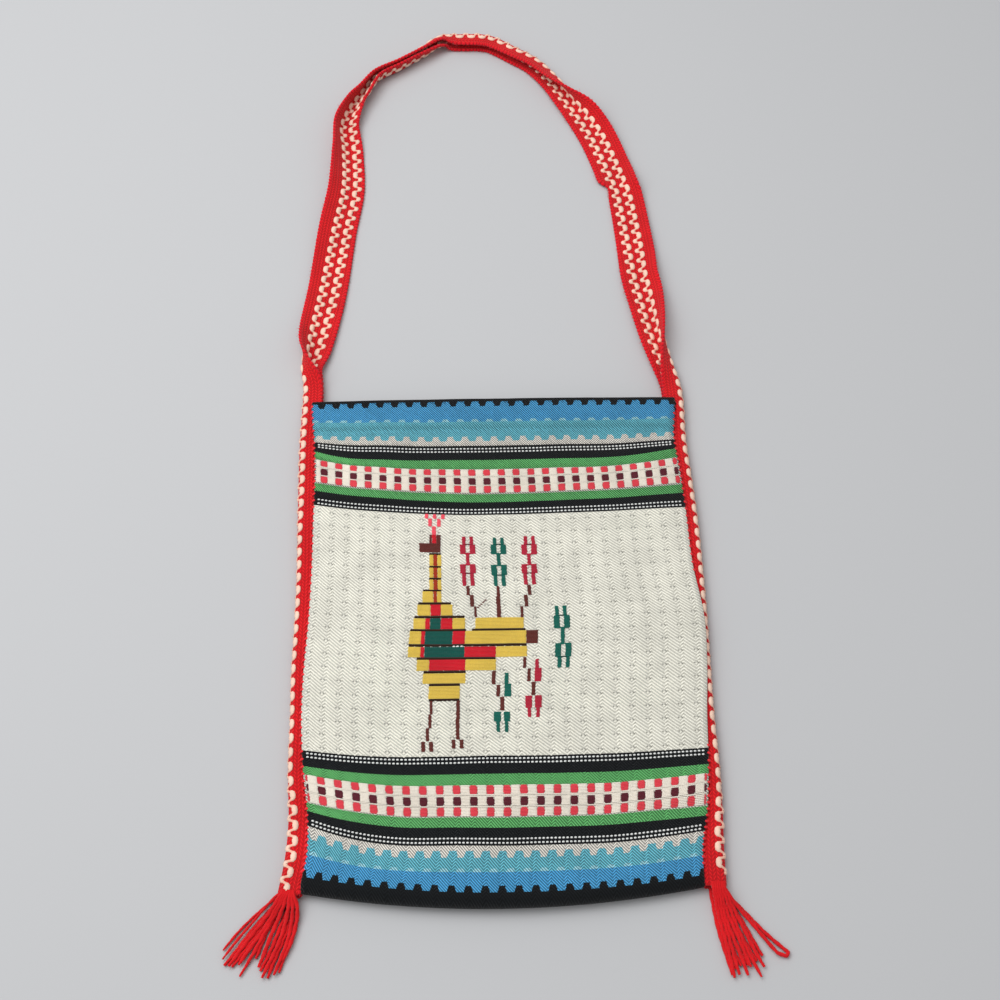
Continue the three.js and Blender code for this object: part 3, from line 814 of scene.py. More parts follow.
# which of a plume's lengths has a weft across it, how far below it, half its width and its girth; those that
# lie right there are dark
PLUME_WEFTS = (
    (1, 0, 4, PLUME_LINE), (4, 0, 4, PLUME_LINE), (2, -0.4, 3.6, WEFT_GIRTH), (3, 0.4, 3.6, WEFT_GIRTH),
)
TWIG_STEPS = 6
TWIG_STEP = 1.1
TWIG_START = (27.4, 172.1)
TWIG_WIDTH = 1.7
DASHES = (11.6, 14.2, 16.8)
DASH_ROW = 200.7
DASH_WIDTH = 1.6

bird_lines = []


def bird_block(left, right, top, bottom, colour):
    add_block(bird_lines, NECK_ACROSS + left, NECK_ACROSS + right, top, bottom, colour)


def bird_weft(left, right, length, girth, colour):
    add_weft(bird_lines, NECK_ACROSS + left, NECK_ACROSS + right, length, girth, colour)


for top, bottom, *blocks in BODY_ROWS:
    for left, right, colour in blocks:
        bird_block(left, right, top, bottom, colour)
for left, right, length in DARK_LINES:
    bird_weft(left, right, length, BODY_LINE, LINE_BROWN)
for colour, blocks in BIRD_BLOCKS:
    for block in blocks:
        bird_block(*block, colour)
for top_middle, bottom_middle, *lengths, colour in PLUMES:
    def plume_middle(length):
        return lerp(top_middle, bottom_middle, (length - lengths[0]) / (lengths[-1] - lengths[0]))

    for (inner, outer), top, bottom in zip(PETALS, lengths, lengths[1:]):
        middle = plume_middle((top + bottom) / 2)
        for left, right in ((-outer, -inner), (inner, outer)) if inner else ((-outer, outer),):
            bird_block(middle + left, middle + right, top, bottom, colour)
    for index, below, half, girth in PLUME_WEFTS:
        middle = plume_middle(lengths[index])
        weft_colour = colour if below else DARK_PLUME[colour]
        bird_weft(middle - half, middle + half, lengths[index] + below, girth, weft_colour)
for step in range(TWIG_STEPS):
    left = TWIG_START[0] + step * TWIG_STEP
    bird_weft(left, left + TWIG_WIDTH, TWIG_START[1] - step * TWIG_STEP, PLUME_LINE, BROWN)
for left in DASHES:
    bird_weft(left, left + DASH_WIDTH, DASH_ROW, BODY_LINE, DOT_WHITE)
bird_wefts = made_by_nodes("bird_wefts", bird_lines, laid_yarn, **INLAY)
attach(bird_wefts, "root")

# Twill wales: the raised weft lines of the eyed twill on the front wall, one slender yarn each, wider where
# they turn, and a small knot in each eye of the field. They have the colour of the stripe that they cross,
# and go under the figures.
WALE_SIDES = 3
WALE_FLATNESS = 0.3
FIELD_GIRTH = 0.84
BORDER_GIRTH = 0.42
WALE_SINK = 0.05
UNDER_FIGURE = -0.7
STRAIGHT_STEP = 3
REPEATS = range(-13, 13)
UNEVEN = 0.1
EYE_LINE = 1.14
EYE_TURN = 0.3
BEFORE_EYE = 0.8
KNOT_GIRTH = 0.78
KNOT = ((-0.6, 0.5), (0, 1), (0.6, 0.5))
# part of a repeat at which a turning wale has a point, and its width there in the field and in a border
TURNING_PARTS = (
    (0, 1.12, 1.15), (0.2, 0.98, 1), (0.39, 0.94, 1), (0.59, 0.98, 1), (LONG_PART, 1.16, 1.15),
    (0.89, 1.2, 1.15),
)
# from and to which length of cloth wales lie, and whether they are straight or turn as in border or field
WALE_ZONES = (
    (0.8, 42.4, "straight"),
    (48.4, 61.8, "straight"),
    (82.6, 94.2, "straight"),
    (FIELD_TOP, FIELD_BOTTOM, "field"),
    (283.4, 297.2, "border"),
    (318.2, 330.4, "border"),
    (335.8, 366, "border"),
)
uneven_wool = random.Random("uneven wool")
wale_lines = []


def wale_point(across, length, girth):
    """A point of a wale, sunk into the cloth where a figure lies over it."""
    facing = front_facing(across, length)
    rise = 0.5 * girth * WALE_FLATNESS - WALE_SINK
    if FIELD_TOP < length < FIELD_BOTTOM:
        for left, right, top, bottom in figure_blocks:
            if left < across < right and top < length < bottom:
                rise = UNDER_FIGURE
    return on_front(across, length) + facing * rise, facing, girth, (across, length, 0)


def add_wales(top, bottom, manner):
    """The wales of one zone, cut off where they leave it."""
    in_field = manner == "field"
    run, pitch, jump, start, girth = BORDER_RUN, BORDER_PITCH, BORDER_JUMP, 0, BORDER_GIRTH
    if in_field:
        run, pitch, jump, start, girth = FIELD_RUN, FIELD_PITCH, FIELD_JUMP, FIELD_START, FIELD_GIRTH
    places = []
    if manner == "straight":
        for step in range(int(2 * CLOTH_REACH / STRAIGHT_STEP) + 1):
            across = step * STRAIGHT_STEP - CLOTH_REACH
            places.append((across, across * STRAIGHT_SLOPE, 0, 1, False))
    else:
        for repeat in REPEATS:
            for part, field_share, border_share in TURNING_PARTS:
                course = repeat * jump * pitch + min(part, 2 * LONG_PART - part) * run
                share = field_share if in_field else border_share
                places.append(((repeat + part) * REPEAT, course, repeat * jump, share, part == LONG_PART))
    places = [place for place in places if abs(place[0]) <= CLOTH_REACH]
    courses = [place[1] for place in places]
    first = math.floor((top - start - max(courses)) / pitch)
    last = math.ceil((bottom - start - min(courses)) / pitch)
    for number in range(first, last + 1):
        line = []
        for across, course, lines_on, share, turning in places:
            length = start + number * pitch + course
            if not top < length < bottom:
                wale_lines.append(line)
                line = []
                continue
            from_eye = (number + lines_on) % EYE_EVERY
            at_eye = in_field and from_eye == 0
            if at_eye:
                share = EYE_TURN if turning else share * EYE_LINE
            if in_field and turning and from_eye == EYE_EVERY - 1:
                share = BEFORE_EYE
            size = girth * share * uneven_wool.uniform(1 - UNEVEN, 1 + UNEVEN)
            line.append(wale_point(across, length, size))
            if at_eye and turning:
                wale_lines.append([wale_point(across + off, length, KNOT_GIRTH * part) for off, part in KNOT])
        wale_lines.append(line)


for zone in WALE_ZONES:
    add_wales(*zone)
wale_lines = [line for line in wale_lines if len(line) > 1]

# Painted shadow: the wales are darkened round each eye of the field by the twill's shadow ring.
RING_SHADOW_TONE = 0.42
wale_wool, tree, shader, place = wool_material("wale_wool", CLOTH_SHEEN)
wale_place = add_node(tree, "ShaderNodeAttribute", attribute_name="cloth_place")["Vector"]
stripes, twill = stripes_and_twill(tree, wale_place)
fibre = use_group(tree, wool_fibre, Place=place, Fineness=CLOTH_FIBRES)
wale_shade_and_fibre_tone = ranged(twill["Shadow Ring"], 0, 1, 1.0, RING_SHADOW_TONE) * fibre["Tone"]
finish_wool(tree, shader, stripes["Colour"], wale_shade_and_fibre_tone, fibre["Fuzz"], YARN_RELIEF)
WALES = {"Sides": WALE_SIDES, "Flatness": WALE_FLATNESS, "Wool": wale_wool}
twill_wales = made_by_nodes("twill_wales", wale_lines, laid_yarn, "cloth_place", **WALES)
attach(twill_wales, "root")

# Shoulder band: one long tablet-woven wool band of twisted cords. It runs up the left side of the bag as a
# folded gusset, makes the shoulder loop, and comes down the right side. Red ground, worn flat on the loop.
BAND_WIDTH = 28.5
BAND_THICKNESS = 2.2
BEND_LENGTH = 10
GUSSET_ROLL = 90
GUSSET_FOLD = 180
LOOK_AHEAD = 0.05
STATION = 4
FINE_STATION = 1.3
CORD_PITCH = 2.375
CORD_STEPS = 4
CORD_RELIEF = 0.26
HALF_BAND = BAND_WIDTH / 2
HALF_BEND = BEND_LENGTH / 2
# x, y, roll of the outer edge and fold of the two borders, from the left corner of the mouth to the right
LOOP = (
    (-140.8, 201, 80, 200), (-142, 219, 48, 150), (-136.4, 241, 20, 66), (-128.5, 288, 4, 18),
    (-122.5, 352, 12, 18), (-117.4, 394, 20, 28), (-119.6, 436, 28, 66), (-122.6, 464, 28, 106),
    (-115.6, 487, 22, 142), (-108, 501, 22, 165), (-97, 520, 22, 186), (-77.5, 533.5, 24, 194),
    (-57.4, 550, 34, 192), (-46, 561.4, 50, 184), (-36.6, 566.5, 72, 177), (-22, 566, 90, 174),
    (2, 564, 90, 176), (24, 550, 86, 172), (43, 535, 80, 168), (58, 514, 68, 158), (70, 491, 44, 118),
    (81, 470, 20, 52), (91, 446, 10, 26), (100, 416, 6, 18), (105.6, 396, 12, 42), (108.5, 380, 6, 14),
    (113.5, 332, 8, 16), (115.8, 305, 14, 42), (119, 285, 14, 50), (126, 245, 32, 105),
    (133, 219, 58, 155), (138, 200, 80, 188),
)
# y, and how far the band's inner border is tucked under there, in a small fold on the loop's right side
TUCK = ((418, 0), (404, -0.5), (397, 4.6), (383, 3), (350, 2), (320, 0.8), (290, 0))
TUCK_LINE = -6.5
TUCKED_Y = (383, 426)
route = [(left, y, GUSSET_ROLL, GUSSET_FOLD) for y, _, _, left, _ in reversed(SIDES)]
route += LOOP
route += [(right, y, GUSSET_ROLL, GUSSET_FOLD) for y, _, _, _, right in SIDES]
ROUTE_END = len(route) - 1


def band_section(cut, fold):
    """A point across the bent band: out along it, up from its face, and the turn of its face there."""
    bent = clamp(cut, -HALF_BEND, HALF_BEND)
    radius = BEND_LENGTH / math.radians(fold)
    turn = bent / radius
    out = radius * math.sin(turn) + (cut - bent) * math.cos(turn)
    up = radius * (1 - math.cos(turn)) + (cut - bent) * math.sin(turn)
    return out, up, turn


class BandStation:
    """The band at one place of its route, laid on the ground."""

    def __init__(self, place):
        self.x, self.y, roll, self.fold = (between(route, column, place) for column in range(4))
        self.roll = math.radians(roll)
        behind = max(place - LOOK_AHEAD, 0)
        ahead = min(place + LOOK_AHEAD, ROUTE_END)
        step_x, step_y = (between(route, column, ahead) - between(route, column, behind) for column in (0, 1))
        self.outward = Vector((-step_y, step_x, 0)).normalized()
        self.tuck = at_first(TUCK, 1, self.y) if self.x > 0 else 0
        self.lift = 0
        cuts = (-HALF_BAND, -HALF_BEND, -HALF_BEND / 2, 0, HALF_BEND / 2, HALF_BEND, HALF_BAND)
        self.lift = BAND_THICKNESS / 2 - min(self.middle(cut).z for cut in cuts)

    def middle(self, cut):
        tucked = cut + self.tuck * smooth((TUCK_LINE - cut) / (TUCK_LINE + HALF_BAND))
        out, up, _ = band_section(tucked, self.fold)
        level = out * math.cos(self.roll) - up * math.sin(self.roll)
        height = out * math.sin(self.roll) + up * math.cos(self.roll)
        return Vector((self.x, self.y, height + self.lift)) + self.outward * level

    def normal(self, cut):
        turn = band_section(cut, self.fold)[2] + self.roll
        return self.outward * -math.sin(turn) + Vector((0, 0, math.cos(turn)))


def cord_half(cut):
    """Half the band's thickness at a cut across it, higher along each cord than between two cords."""
    return BAND_THICKNESS / 2 - CORD_RELIEF * (1 - abs(math.sin(math.pi * cut / CORD_PITCH)))


band_stations = []
for leg, (start, end) in enumerate(zip(route, route[1:])):
    by_tuck = start[0] > 0 and TUCKED_Y[0] < start[1] < TUCKED_Y[1]
    distance = math.hypot(end[0] - start[0], end[1] - start[1])
    parts = max(1, round(distance / (FINE_STATION if by_tuck else STATION)))
    band_stations += [leg + part / parts for part in range(parts)]
band_stations.append(ROUTE_END)
stations = [BandStation(place) for place in band_stations]
band_lengths = [0]
for station, following in zip(stations, stations[1:]):
    band_lengths.append((following.middle(0) - station.middle(0)).length + band_lengths[-1])
BAND_LENGTH = band_lengths[-1]
cord_columns = CORD_STEPS * round(BAND_WIDTH / CORD_PITCH)
band_cuts = [lerp(-HALF_BAND, HALF_BAND, column / cord_columns) for column in range(cord_columns + 1)]
BAND_MAP = "band_millimetres"
band_grid = []
for station, length in zip(stations, band_lengths):
    band_grid.append([(station.middle(cut), (cut, length)) for cut in band_cuts])
woven_band = wall_piece("woven_band", band_grid, lambda row, column: cord_half(band_cuts[column]), BAND_MAP)

# Twisted cords: the band's red wool warp. The tablets twist it into cords as they turn, and its slanting
# plies lean one way in one cord and the other way in the next.
PLY_LENGTH = 2.6
twisted_cords, across, along, pitch, ply_length = shader_group(
    "twisted_cords", ("Across", "Along", "Pitch", "Ply"), ("Height",)
)
cord_place = across / pitch
ply_turn = (along / ply_length + reckoned("PINGPONG", cord_place, 1.0)) * math.tau
ply = reckoned("COSINE", ply_turn) * 0.5 + 0.5
cord_round = reckoned("ABSOLUTE", reckoned("SINE", cord_place * math.pi))
add_node(twisted_cords, "NodeGroupOutput", {"Height": ply * cord_round})

BAND_RED = dyed(229, 28, 34)
BAND_SHEEN = 0.1
BAND_FUZZ = 0.3
BAND_RELIEF = 0.5
# Painted shade: the band is darker in the grooves between its cords and plies, and a little lighter on their
# tops.
CORD_SHADE_TONE = (0, 0.8, 0.62, 1.05)
band_wool, tree, shader, place = wool_material("band_wool", BAND_SHEEN)
band_map = add_node(tree, "ShaderNodeUVMap", uv_map=BAND_MAP)["UV"]
across, along, _ = add_node(tree, "ShaderNodeSeparateXYZ", {"Vector": band_map}).values()
cords = use_group(tree, twisted_cords, Across=across, Along=along, Pitch=CORD_PITCH, Ply=PLY_LENGTH)["Height"]
fibre = use_group(tree, wool_fibre, Place=place, Fineness=CLOTH_FIBRES)
cord_shade_and_fibre_tone = ranged(cords, *CORD_SHADE_TONE) * fibre["Tone"]
finish_wool(tree, shader, BAND_RED, cord_shade_and_fibre_tone, fibre["Fuzz"] * BAND_FUZZ + cords, BAND_RELIEF)
woven_band.data.materials.append(band_wool)
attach(woven_band, "root")
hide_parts("shoulder_band")

# Cream waves: two rows of cream wool floats, woven into both faces of the band. Each row swings between a
# long float on the side of the outer edge and a short one on the other side. Along the bag's sides the band
# is not folded along its middle, so that there the rows lie a little to one side of the fold.
WAVE_PITCH = 9.8
WAVE_ROW = 4.9
WAVE_SIDES = 6
WAVE_FLATNESS = 0.36
WAVE_RISE = 0.12
WAVE_LEVEL = 1.3
LINK_GIRTH = 1
WAVE_CREAM = dyed(245, 209, 188)
# Painted shade: the thin sunk links between the floats have a darker, browner cream than the floats.
LINK_SHADE_CREAM = dyed(240, 184, 162)
# part of the pitch, place across the row and half width of the yarn
WAVE = (
    (0.01, 0.4, 0.9), (0.06, 1.45, 1.55), (0.14, 1.85, 2.1), (0.3, 1.95, 2.25), (0.45, 1.85, 2.15),
    (0.53, 1.45, 1.55), (0.59, 0.4, 0.9), (0.65, -0.8, 0.9), (0.71, -1.6, 1.65), (0.79, -1.9, 2.2),
    (0.87, -1.85, 2.1), (0.92, -1.5, 1.55), (0.97, -0.7, 0.9),
)
# y, and how far the rows lie from their place across the band there, for the left and for the right side
LEFT_SHIFT = (
    (-178, -0.4), (-146, -0.4), (-100, -3.6), (60, -3.6), (115, -2.6), (180, -2.8), (205, -3.4),
    (245, -1.5), (290, -1.8), (352, -3.6), (394, -4.6), (436, -5), (500, -5), (535, -4), (566, 0),
)
RIGHT_SHIFT = (
    (-178, -1.8), (-140, -1.8), (-112, -3.6), (60, -3.6), (185, -3.4), (215, -2.6), (250, -2),
    (330, -1.4), (400, -1.4), (446, -1.6), (490, -2.2), (520, -2), (550, 0), (566, 0),
)


def band_at(length):
    """The band at a length along it."""
    index = 0
    while index < len(band_lengths) - 2 and band_lengths[index + 1] < length:
        index += 1
    part = (length - band_lengths[index]) / (band_lengths[index + 1] - band_lengths[index])
    return BandStation(lerp(band_stations[index], band_stations[index + 1], clamp(part, 0, 1)))


wave_run = []
for number in range(int(BAND_LENGTH / WAVE_PITCH)):
    for part, swing, girth in WAVE:
        station = band_at((number + part) * WAVE_PITCH)
        shift = at_first(LEFT_SHIFT if station.x < 0 else RIGHT_SHIFT, 1, station.y)
        wave_run.append((station, swing + shift, girth))
wave_lines = []
for face, row in ((1, WAVE_ROW), (1, -WAVE_ROW), (-1, WAVE_ROW), (-1, -WAVE_ROW)):
    wave_lines.append([])
    for station, swing, girth in wave_run:
        facing = station.normal(row + swing) * face
        rise = CORD_RELIEF + WAVE_RISE * (girth - WAVE_LEVEL)
        point = station.middle(row + swing) + facing * (cord_half(0) + rise)
        upright = math.sqrt(max(0, 1 - facing.z ** 2))
        point.z = max(point.z, girth * max(WAVE_FLATNESS, upright))
        wave_lines[-1].append((point, facing, girth, WAVE_CREAM if girth > LINK_GIRTH else LINK_SHADE_CREAM))
band_waves = made_by_nodes(
    "band_waves", wave_lines, laid_yarn, Sides=WAVE_SIDES, Flatness=WAVE_FLATNESS, Wool=inlay_wool
)
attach(band_waves, "root")

# Selvedges: the band's two edge cords of red wool, beaded by the weft that turns round them, with painted
# shade, a darker red, in the grooves between the beads.
BEAD_PITCH = 3.3
BEAD_SIDES = 6
BEAD_FLATNESS = 0.9
SELVEDGE_RED = dyed(222, 22, 36)
GROOVE_SHADE_RED = dyed(150, 8, 22)
# part of the pitch, half width and colour of the cord there, darker at the groove for painted shade
BEAD = (
    (0, 0.85, GROOVE_SHADE_RED), (0.22, 1.3, SELVEDGE_RED), (0.5, 1.5, SELVEDGE_RED), (0.78, 1.3, SELVEDGE_RED),
)
UPWARDS = Vector((0, 0, 1))
edge_lines = [[], []]
for number in range(int(BAND_LENGTH / BEAD_PITCH)):
    for part, girth, dye in BEAD:
        station = band_at((number + part) * BEAD_PITCH)
        for beads, edge in zip(edge_lines, (HALF_BAND, -HALF_BAND)):
            point = station.middle(edge)
            point.z = max(point.z, girth)
            beads.append((point, station.normal(edge), girth, dye))
band_selvedges = made_by_nodes(
    "band_selvedges", edge_lines, laid_yarn, Sides=BEAD_SIDES, Flatness=BEAD_FLATNESS, Wool=inlay_wool
)
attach(band_selvedges, "root")

# Seam stitches: red wool overcasting that sews the edges of the front wall to the band, with two black
# tacking stitches at the right corner of the mouth.
STITCH_PITCH = 5
STITCH_INSIDE = 0.2
STITCH_OUTSIDE = 3
STITCH_GIRTH = 1.0
STITCH_SIDES = 5
STITCH_FLATNESS = 0.7
STITCH_RED = dyed(240, 44, 54)
TACK_BLACK = dyed(24, 28, 34)
TACKS = (1, 2)
UNSEWN = 3
# part of the way over the seam, rise and share of the half width
STITCH = ((0, -0.2, 0.6), (0.25, 0.55, 1), (0.6, 0.9, 1), (1, -0.2, 0.6))
GUSSET_RADIUS = BEND_LENGTH / math.pi
LAST_SIDE = len(SIDES) - 1
stitch_count = int((MOUTH_Y - CORNER_Y) / STITCH_PITCH)
stitch_lines = []
for edge in (-1, 1):
    for number in range(1, stitch_count - UNSEWN):
        place = LAST_SIDE * number / stitch_count
        station = BandStation(LAST_SIDE - place if edge < 0 else ROUTE_END - LAST_SIDE + place)
        showing = abs(front_x(edge, station.y) - station.x) - STITCH_OUTSIDE
        if showing < GUSSET_RADIUS:
            continue
        side = edge * (1 - STITCH_INSIDE / HALF_CLOTH)
        on_cloth = on_front(side * HALF_CLOTH, cloth_length(side, station.y))
        cut = HALF_BEND + showing - GUSSET_RADIUS
        on_band = station.middle(cut) + station.normal(cut) * cord_half(cut)
        dye = TACK_BLACK if edge > 0 and number in TACKS else STITCH_RED
        stitch_lines.append([
            (on_cloth.lerp(on_band, part) + UPWARDS * rise, UPWARDS, STITCH_GIRTH * share, dye)
            for part, rise, share in STITCH
        ])
seam_stitches = made_by_nodes(
    "seam_stitches", stitch_lines, laid_yarn, Sides=STITCH_SIDES, Flatness=STITCH_FLATNESS, Wool=inlay_wool
)
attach(seam_stitches, "root")

# Tassels: the band's own warp ends, left loose at the two bottom corners. Thick, softly twisted red wool
# yarns that come out of the folded band and fan outwards on the ground, one of them doubled back as a loop.
TASSEL_RED = dyed(218, 24, 30)
YARN_PLY = 1.2
YARN_SPREAD = 0.24
YARN_TWIST = 16
YARN_STEP = 1.1
YARN_SIDES = 6
YARN_POINTS = 14
YARN_FLOOR = 1.6
YARN_LAYER = 1.7
LAYER_DROP = 0.5
YARN_WAVER = 0.5
WAVER_TURN = 9
YARN_SETTLE = 1.7
TIP_TAPER = (0.92, 0.6)
ROOT_INSIDE = 3
ROOT_CUTS = (11, 2.6)
STRAIGHT_SHARE = 0.24
LOOP_GIRTH = 0.9
LOOP_ROOTS = (0.95, 0.8)
LOOP_BEND = 3
# turn from the band's line, length, girth and sideways curl of each yarn, from the outermost inwards
LEFT_YARNS = (
    (41.5, 50.5, 0.62, 7), (36.6, 53.9, 0.66, 6), (33.6, 56, 0.95, 4), (31, 54.6, 1, 3),
    (28.5, 53.2, 1, 3), (25.5, 50, 1, 2), (21.5, 55.5, 0.7, 1), (21.5, 46, 1, 2), (17.9, 42, 1, 3),
    (12.6, 46, 1, 1), (10, 47.5, 1, -1), (6.3, 51, 1, -2), (3.1, 50.4, 1, -2.5), (-1.3, 48.1, 0.95, -3.5),
    (-3.5, 46.2, 0.8, -4), (-5.7, 39.3, 1, -5),
)
RIGHT_YARNS = (
    (32.4, 49.1, 1, 2), (28.8, 55.1, 1, 2), (26.5, 50, 1, 0), (23.6, 59.1, 0.9, 2), (24, 52.8, 1, -1),
    (21.2, 51.7, 1, 1), (19, 50, 1, -1.5), (16.6, 55.5, 1, 1), (14.5, 49, 1, -1), (12.1, 53.9, 1, 1),
    (10, 50, 1, -1), (8.3, 55.1, 1, 1), (6.7, 53.1, 1, 0),
)
# the doubled yarn of the right tassel: turn and length of its two legs, and its curl
RIGHT_LOOP = ((46.4, 57.3), (41.6, 53.5), 4)
# name, node, x and y of the head, heading of the band there, outer side, place of the band's end and the
# way back from it along the route, yarns, and the doubled yarn
TASSELS = (
    ("tassel_yarns_left", "tassel_left", -132.3, -179.5, 261, -1, 0, 1, LEFT_YARNS, None),
    ("tassel_yarns_right", "tassel_right", 132.2, -178.6, 269.5, 1, ROUTE_END, -1, RIGHT_YARNS, RIGHT_LOOP),
)

two_ply_yarn, lines, radius, spread, twist, step, sides, wool = geometry_tree(
    "two_ply_yarn", Radius="Float", Spread="Float", Twist="Float", Step="Float", Sides="Int", Wool="Material"
)
line = one(two_ply_yarn, "GeometryNodeMeshToCurve", {"Mesh": lines})
line = one(two_ply_yarn, "GeometryNodeResampleCurve", {"Curve": line, "Length": step}, mode="LENGTH")
turns = add_node(two_ply_yarn, "GeometryNodeSplineParameter")["Length"] / twist * math.tau
line = one(two_ply_yarn, "GeometryNodeSetCurveTilt", {"Curve": line, "Tilt": turns})
ring = one(two_ply_yarn, "GeometryNodeCurvePrimitiveCircle", {"Resolution": sides, "Radius": radius})
plies = two_ply_yarn.nodes.new("GeometryNodeJoinGeometry")
for mirror in (1.0, -1.0):
    shift = one(two_ply_yarn, "ShaderNodeCombineXYZ", {"X": radius * spread * mirror})
    ply = one(two_ply_yarn, "GeometryNodeTransform", {"Geometry": ring, "Translation": shift})
    two_ply_yarn.links.new(ply.socket, plies.inputs[0])
yarn_along(two_ply_yarn, line, Number(plies.outputs[0]), wool)


def aimed(degrees):
    turn = math.radians(degrees)
    return Vector((math.cos(turn), math.sin(turn), 0))


for name, node, head_x, head_y, heading, outer_side, end_place, backwards, yarns, loop in TASSELS:
    chance = random.Random(name)
    head = Vector((head_x, head_y, 0))
    straight = aimed(heading)
    outwards = Vector((-straight.y, straight.x, 0)) * outer_side
    band_end = BandStation(end_place)
    before_end = BandStation(end_place + backwards * ROOT_INSIDE / (SIDES[-2][0] - SIDES[-1][0]))

    def yarn_path(root_share, turn, length, curl, layer):
        """The points of one yarn, from its root on or under the band's end to its tip."""
        cut = lerp(*ROOT_CUTS, root_share) * (1 if layer else -1)
        sunk = cord_half(0) if layer else 0
        inside, root = (end.middle(cut) - end.normal(cut) * sunk for end in (before_end, band_end))
        tip = head + aimed(heading + outer_side * turn) * length
        bow = root + straight * STRAIGHT_SHARE * (tip - root).length
        waver = chance.uniform(0, math.tau)
        path = [inside]
        for step in range(YARN_POINTS):
            part = step / (YARN_POINTS - 1)
            point = root.lerp(bow, part).lerp(bow.lerp(tip, part), part)
            sideways = curl * math.sin(part * math.pi)
            sideways += YARN_WAVER * math.sin(part * WAVER_TURN + waver) * part
            point += outwards * sideways
            rest = YARN_FLOOR + YARN_LAYER * layer * (1 - LAYER_DROP * part)
            point.z = lerp(max(root.z, YARN_FLOOR), rest, smooth(part * YARN_SETTLE))
            path.append(point)
        return path

    yarn_lines = []
    for index, (turn, length, girth, curl) in enumerate(yarns):
        path = yarn_path(1 - (index + 0.5) / len(yarns), turn, length, curl, index % 2)
        tapers = [1] * (len(path) - len(TIP_TAPER)) + [*TIP_TAPER]
        yarn_lines.append([(point, UPWARDS, girth * taper, TASSEL_RED) for point, taper in zip(path, tapers)])
    if loop:
        *legs, curl = loop
        out_leg, back_leg = (yarn_path(LOOP_ROOTS[side], *legs[side], curl, side) for side in (0, 1))
        bend = (out_leg[-1] + back_leg[-1]) / 2 + aimed(heading + outer_side * legs[1][0]) * LOOP_BEND
        path = [*out_leg, bend, *reversed(back_leg)]
        yarn_lines.append([(point, UPWARDS, LOOP_GIRTH, TASSEL_RED) for point in path])
    piece = made_by_nodes(
        name,
        yarn_lines,
        two_ply_yarn,
        Radius=YARN_PLY * MM,
        Spread=YARN_SPREAD,
        Twist=YARN_TWIST * MM,
        Step=YARN_STEP * MM,
        Sides=YARN_SIDES,
        Wool=inlay_wool,
    )
    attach(piece, "root")
    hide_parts(node)

# Loose fibres: short red hairs of the band's own wool, which stand off its edges where it has worn fuzzy.
# Each is a thin bent line from a place near the edge.
HAIR_COUNT = 5200
HAIR_GIRTH = 0.1
HAIR_SIDES = 3
HAIR_PARTS = (0, 0.5, 1)
HAIR_TIP = 0.5
HAIR_ROOT = (-0.4, 1.2)
HAIR_LIFT = (-0.9, 0.9)
HAIR_LEAN = (-1.2, 1.2)
HAIR_BEND = (-0.7, 0.7)
HAIR_CURL = (-0.4, 0.4)
HAIR_REACH = (1.0, 2.6)
HAIR_RED = dyed(232, 70, 80)
chance = random.Random("loose fibres")
hair_lines = []
for _ in range(HAIR_COUNT):
    station = BandStation(chance.uniform(0, ROUTE_END))
    edge = chance.choice((1, -1))
    cut = edge * (HALF_BAND - chance.uniform(*HAIR_ROOT))
    root = station.middle(cut)
    sideways = (root - station.middle(cut - edge)).normalized()
    lift = station.normal(cut)
    along = sideways.cross(lift)
    lean = sideways + lift * chance.uniform(*HAIR_LIFT) + along * chance.uniform(*HAIR_LEAN)
    bend = along * chance.uniform(*HAIR_BEND) + lift * chance.uniform(*HAIR_CURL)
    reach = chance.uniform(*HAIR_REACH)
    hair_lines.append([])
    for part in HAIR_PARTS:
        point = root + (lean * part + bend * part * part) * reach
        point.z = max(point.z, HAIR_GIRTH)
        hair_lines[-1].append((point, UPWARDS, HAIR_GIRTH * lerp(1, HAIR_TIP, part), HAIR_RED))
loose_fibres = made_by_nodes(
    "loose_fibres", hair_lines, laid_yarn, Sides=HAIR_SIDES, Flatness=1.0, Wool=inlay_wool
)
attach(loose_fibres, "root")

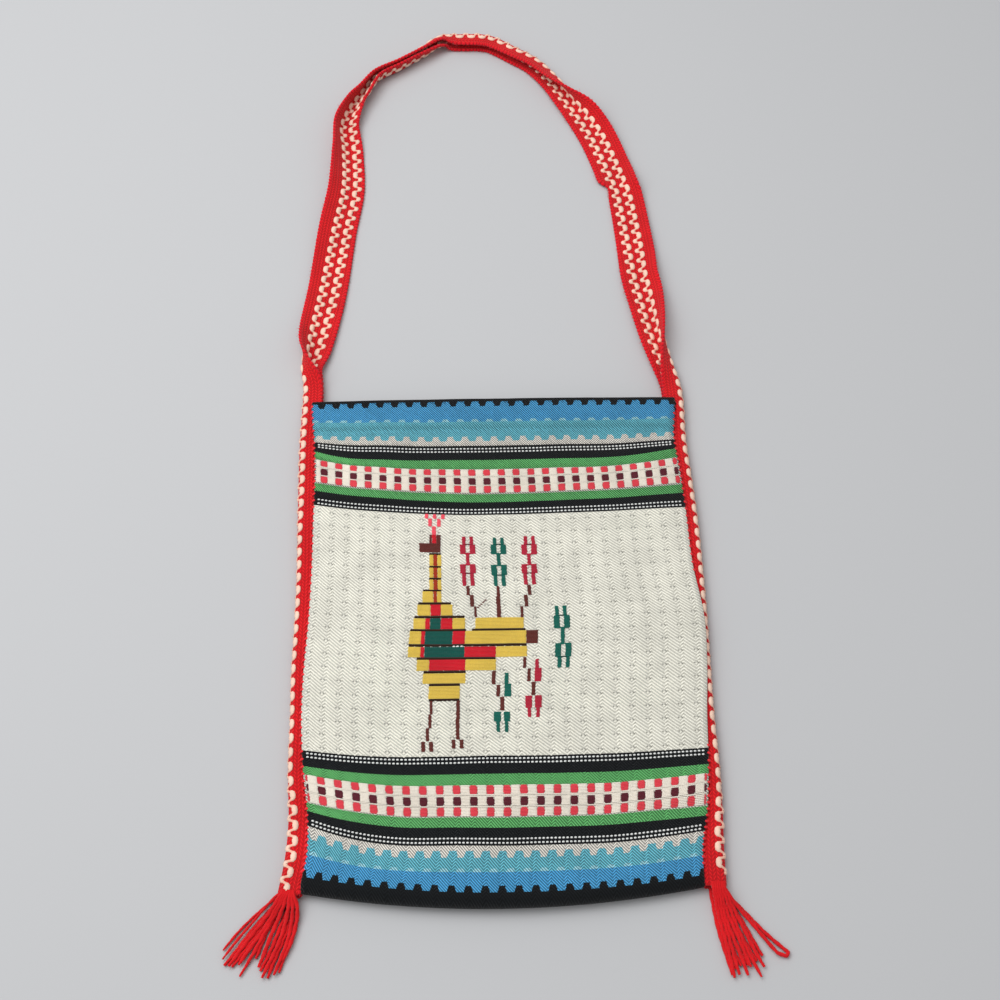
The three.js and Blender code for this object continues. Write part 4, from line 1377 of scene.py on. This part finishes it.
# Studio: a pale seamless floor, a broad soft light above the far side and a weaker one from the left, and the
# camera at the photograph's angle.
FLOOR_HALF = 3.0
FLOOR_GREY = dyed(189, 190, 192)
PAPER = {"Base Color": FLOOR_GREY, "Roughness": 0.9, "Specular IOR Level": 0.1}
ROOM = {"Color": (1.0, 1.0, 1.0, 1.0), "Strength": 0.55}
CAMERA_SENSOR = 36
CAMERA_LENS = 54
CAMERA_PLACE = (-0.0058, -0.4340, 0.9316)
CAMERA_TURN = (30, 0, -0.95)
AIM = Vector((0, 0.1, 0))
# name, place, size and power of each light
LIGHTS = (
    ("far_softbox", (-0.6, 0.5, 1.6), 1.4, 19.4),
    ("left_softbox", (-1.6, -0.2, 1.8), 1.4, 10),
)
floor_mesh = bpy.data.meshes.new("studio_floor")
floor_corners = [(x * FLOOR_HALF, y * FLOOR_HALF, 0) for x, y in ((-1, -1), (1, -1), (1, 1), (-1, 1))]
floor_mesh.from_pydata(floor_corners, [], [(0, 1, 2, 3)])
floor_paper = bpy.data.materials.new("floor_paper")
floor_paper.use_nodes = True
for setting, value in PAPER.items():
    floor_paper.node_tree.nodes["Principled BSDF"].inputs[setting].default_value = value
floor_mesh.materials.append(floor_paper)
studio_floor = place_piece("studio_floor", floor_mesh)

room = bpy.data.worlds.new("soft_room")
room.use_nodes = True
for setting, value in ROOM.items():
    room.node_tree.nodes["Background"].inputs[setting].default_value = value
bpy.context.scene.world = room
for name, light_place, size, power in LIGHTS:
    lamp = bpy.data.lights.new(name, "AREA")
    lamp.size = size
    lamp.energy = power
    light = place_piece(name, lamp)
    light.location = light_place
    light.rotation_euler = (AIM - Vector(light_place)).to_track_quat("-Z", "Y").to_euler()

camera_data = bpy.data.cameras.new("photo_camera")
camera_data.sensor_width = CAMERA_SENSOR
camera_data.lens = CAMERA_LENS
photo_camera = place_piece("photo_camera", camera_data)
photo_camera.location = CAMERA_PLACE
photo_camera.rotation_euler = [math.radians(turn) for turn in CAMERA_TURN]
bpy.context.scene.camera = photo_camera
bpy.context.scene.view_settings.view_transform = "Standard"
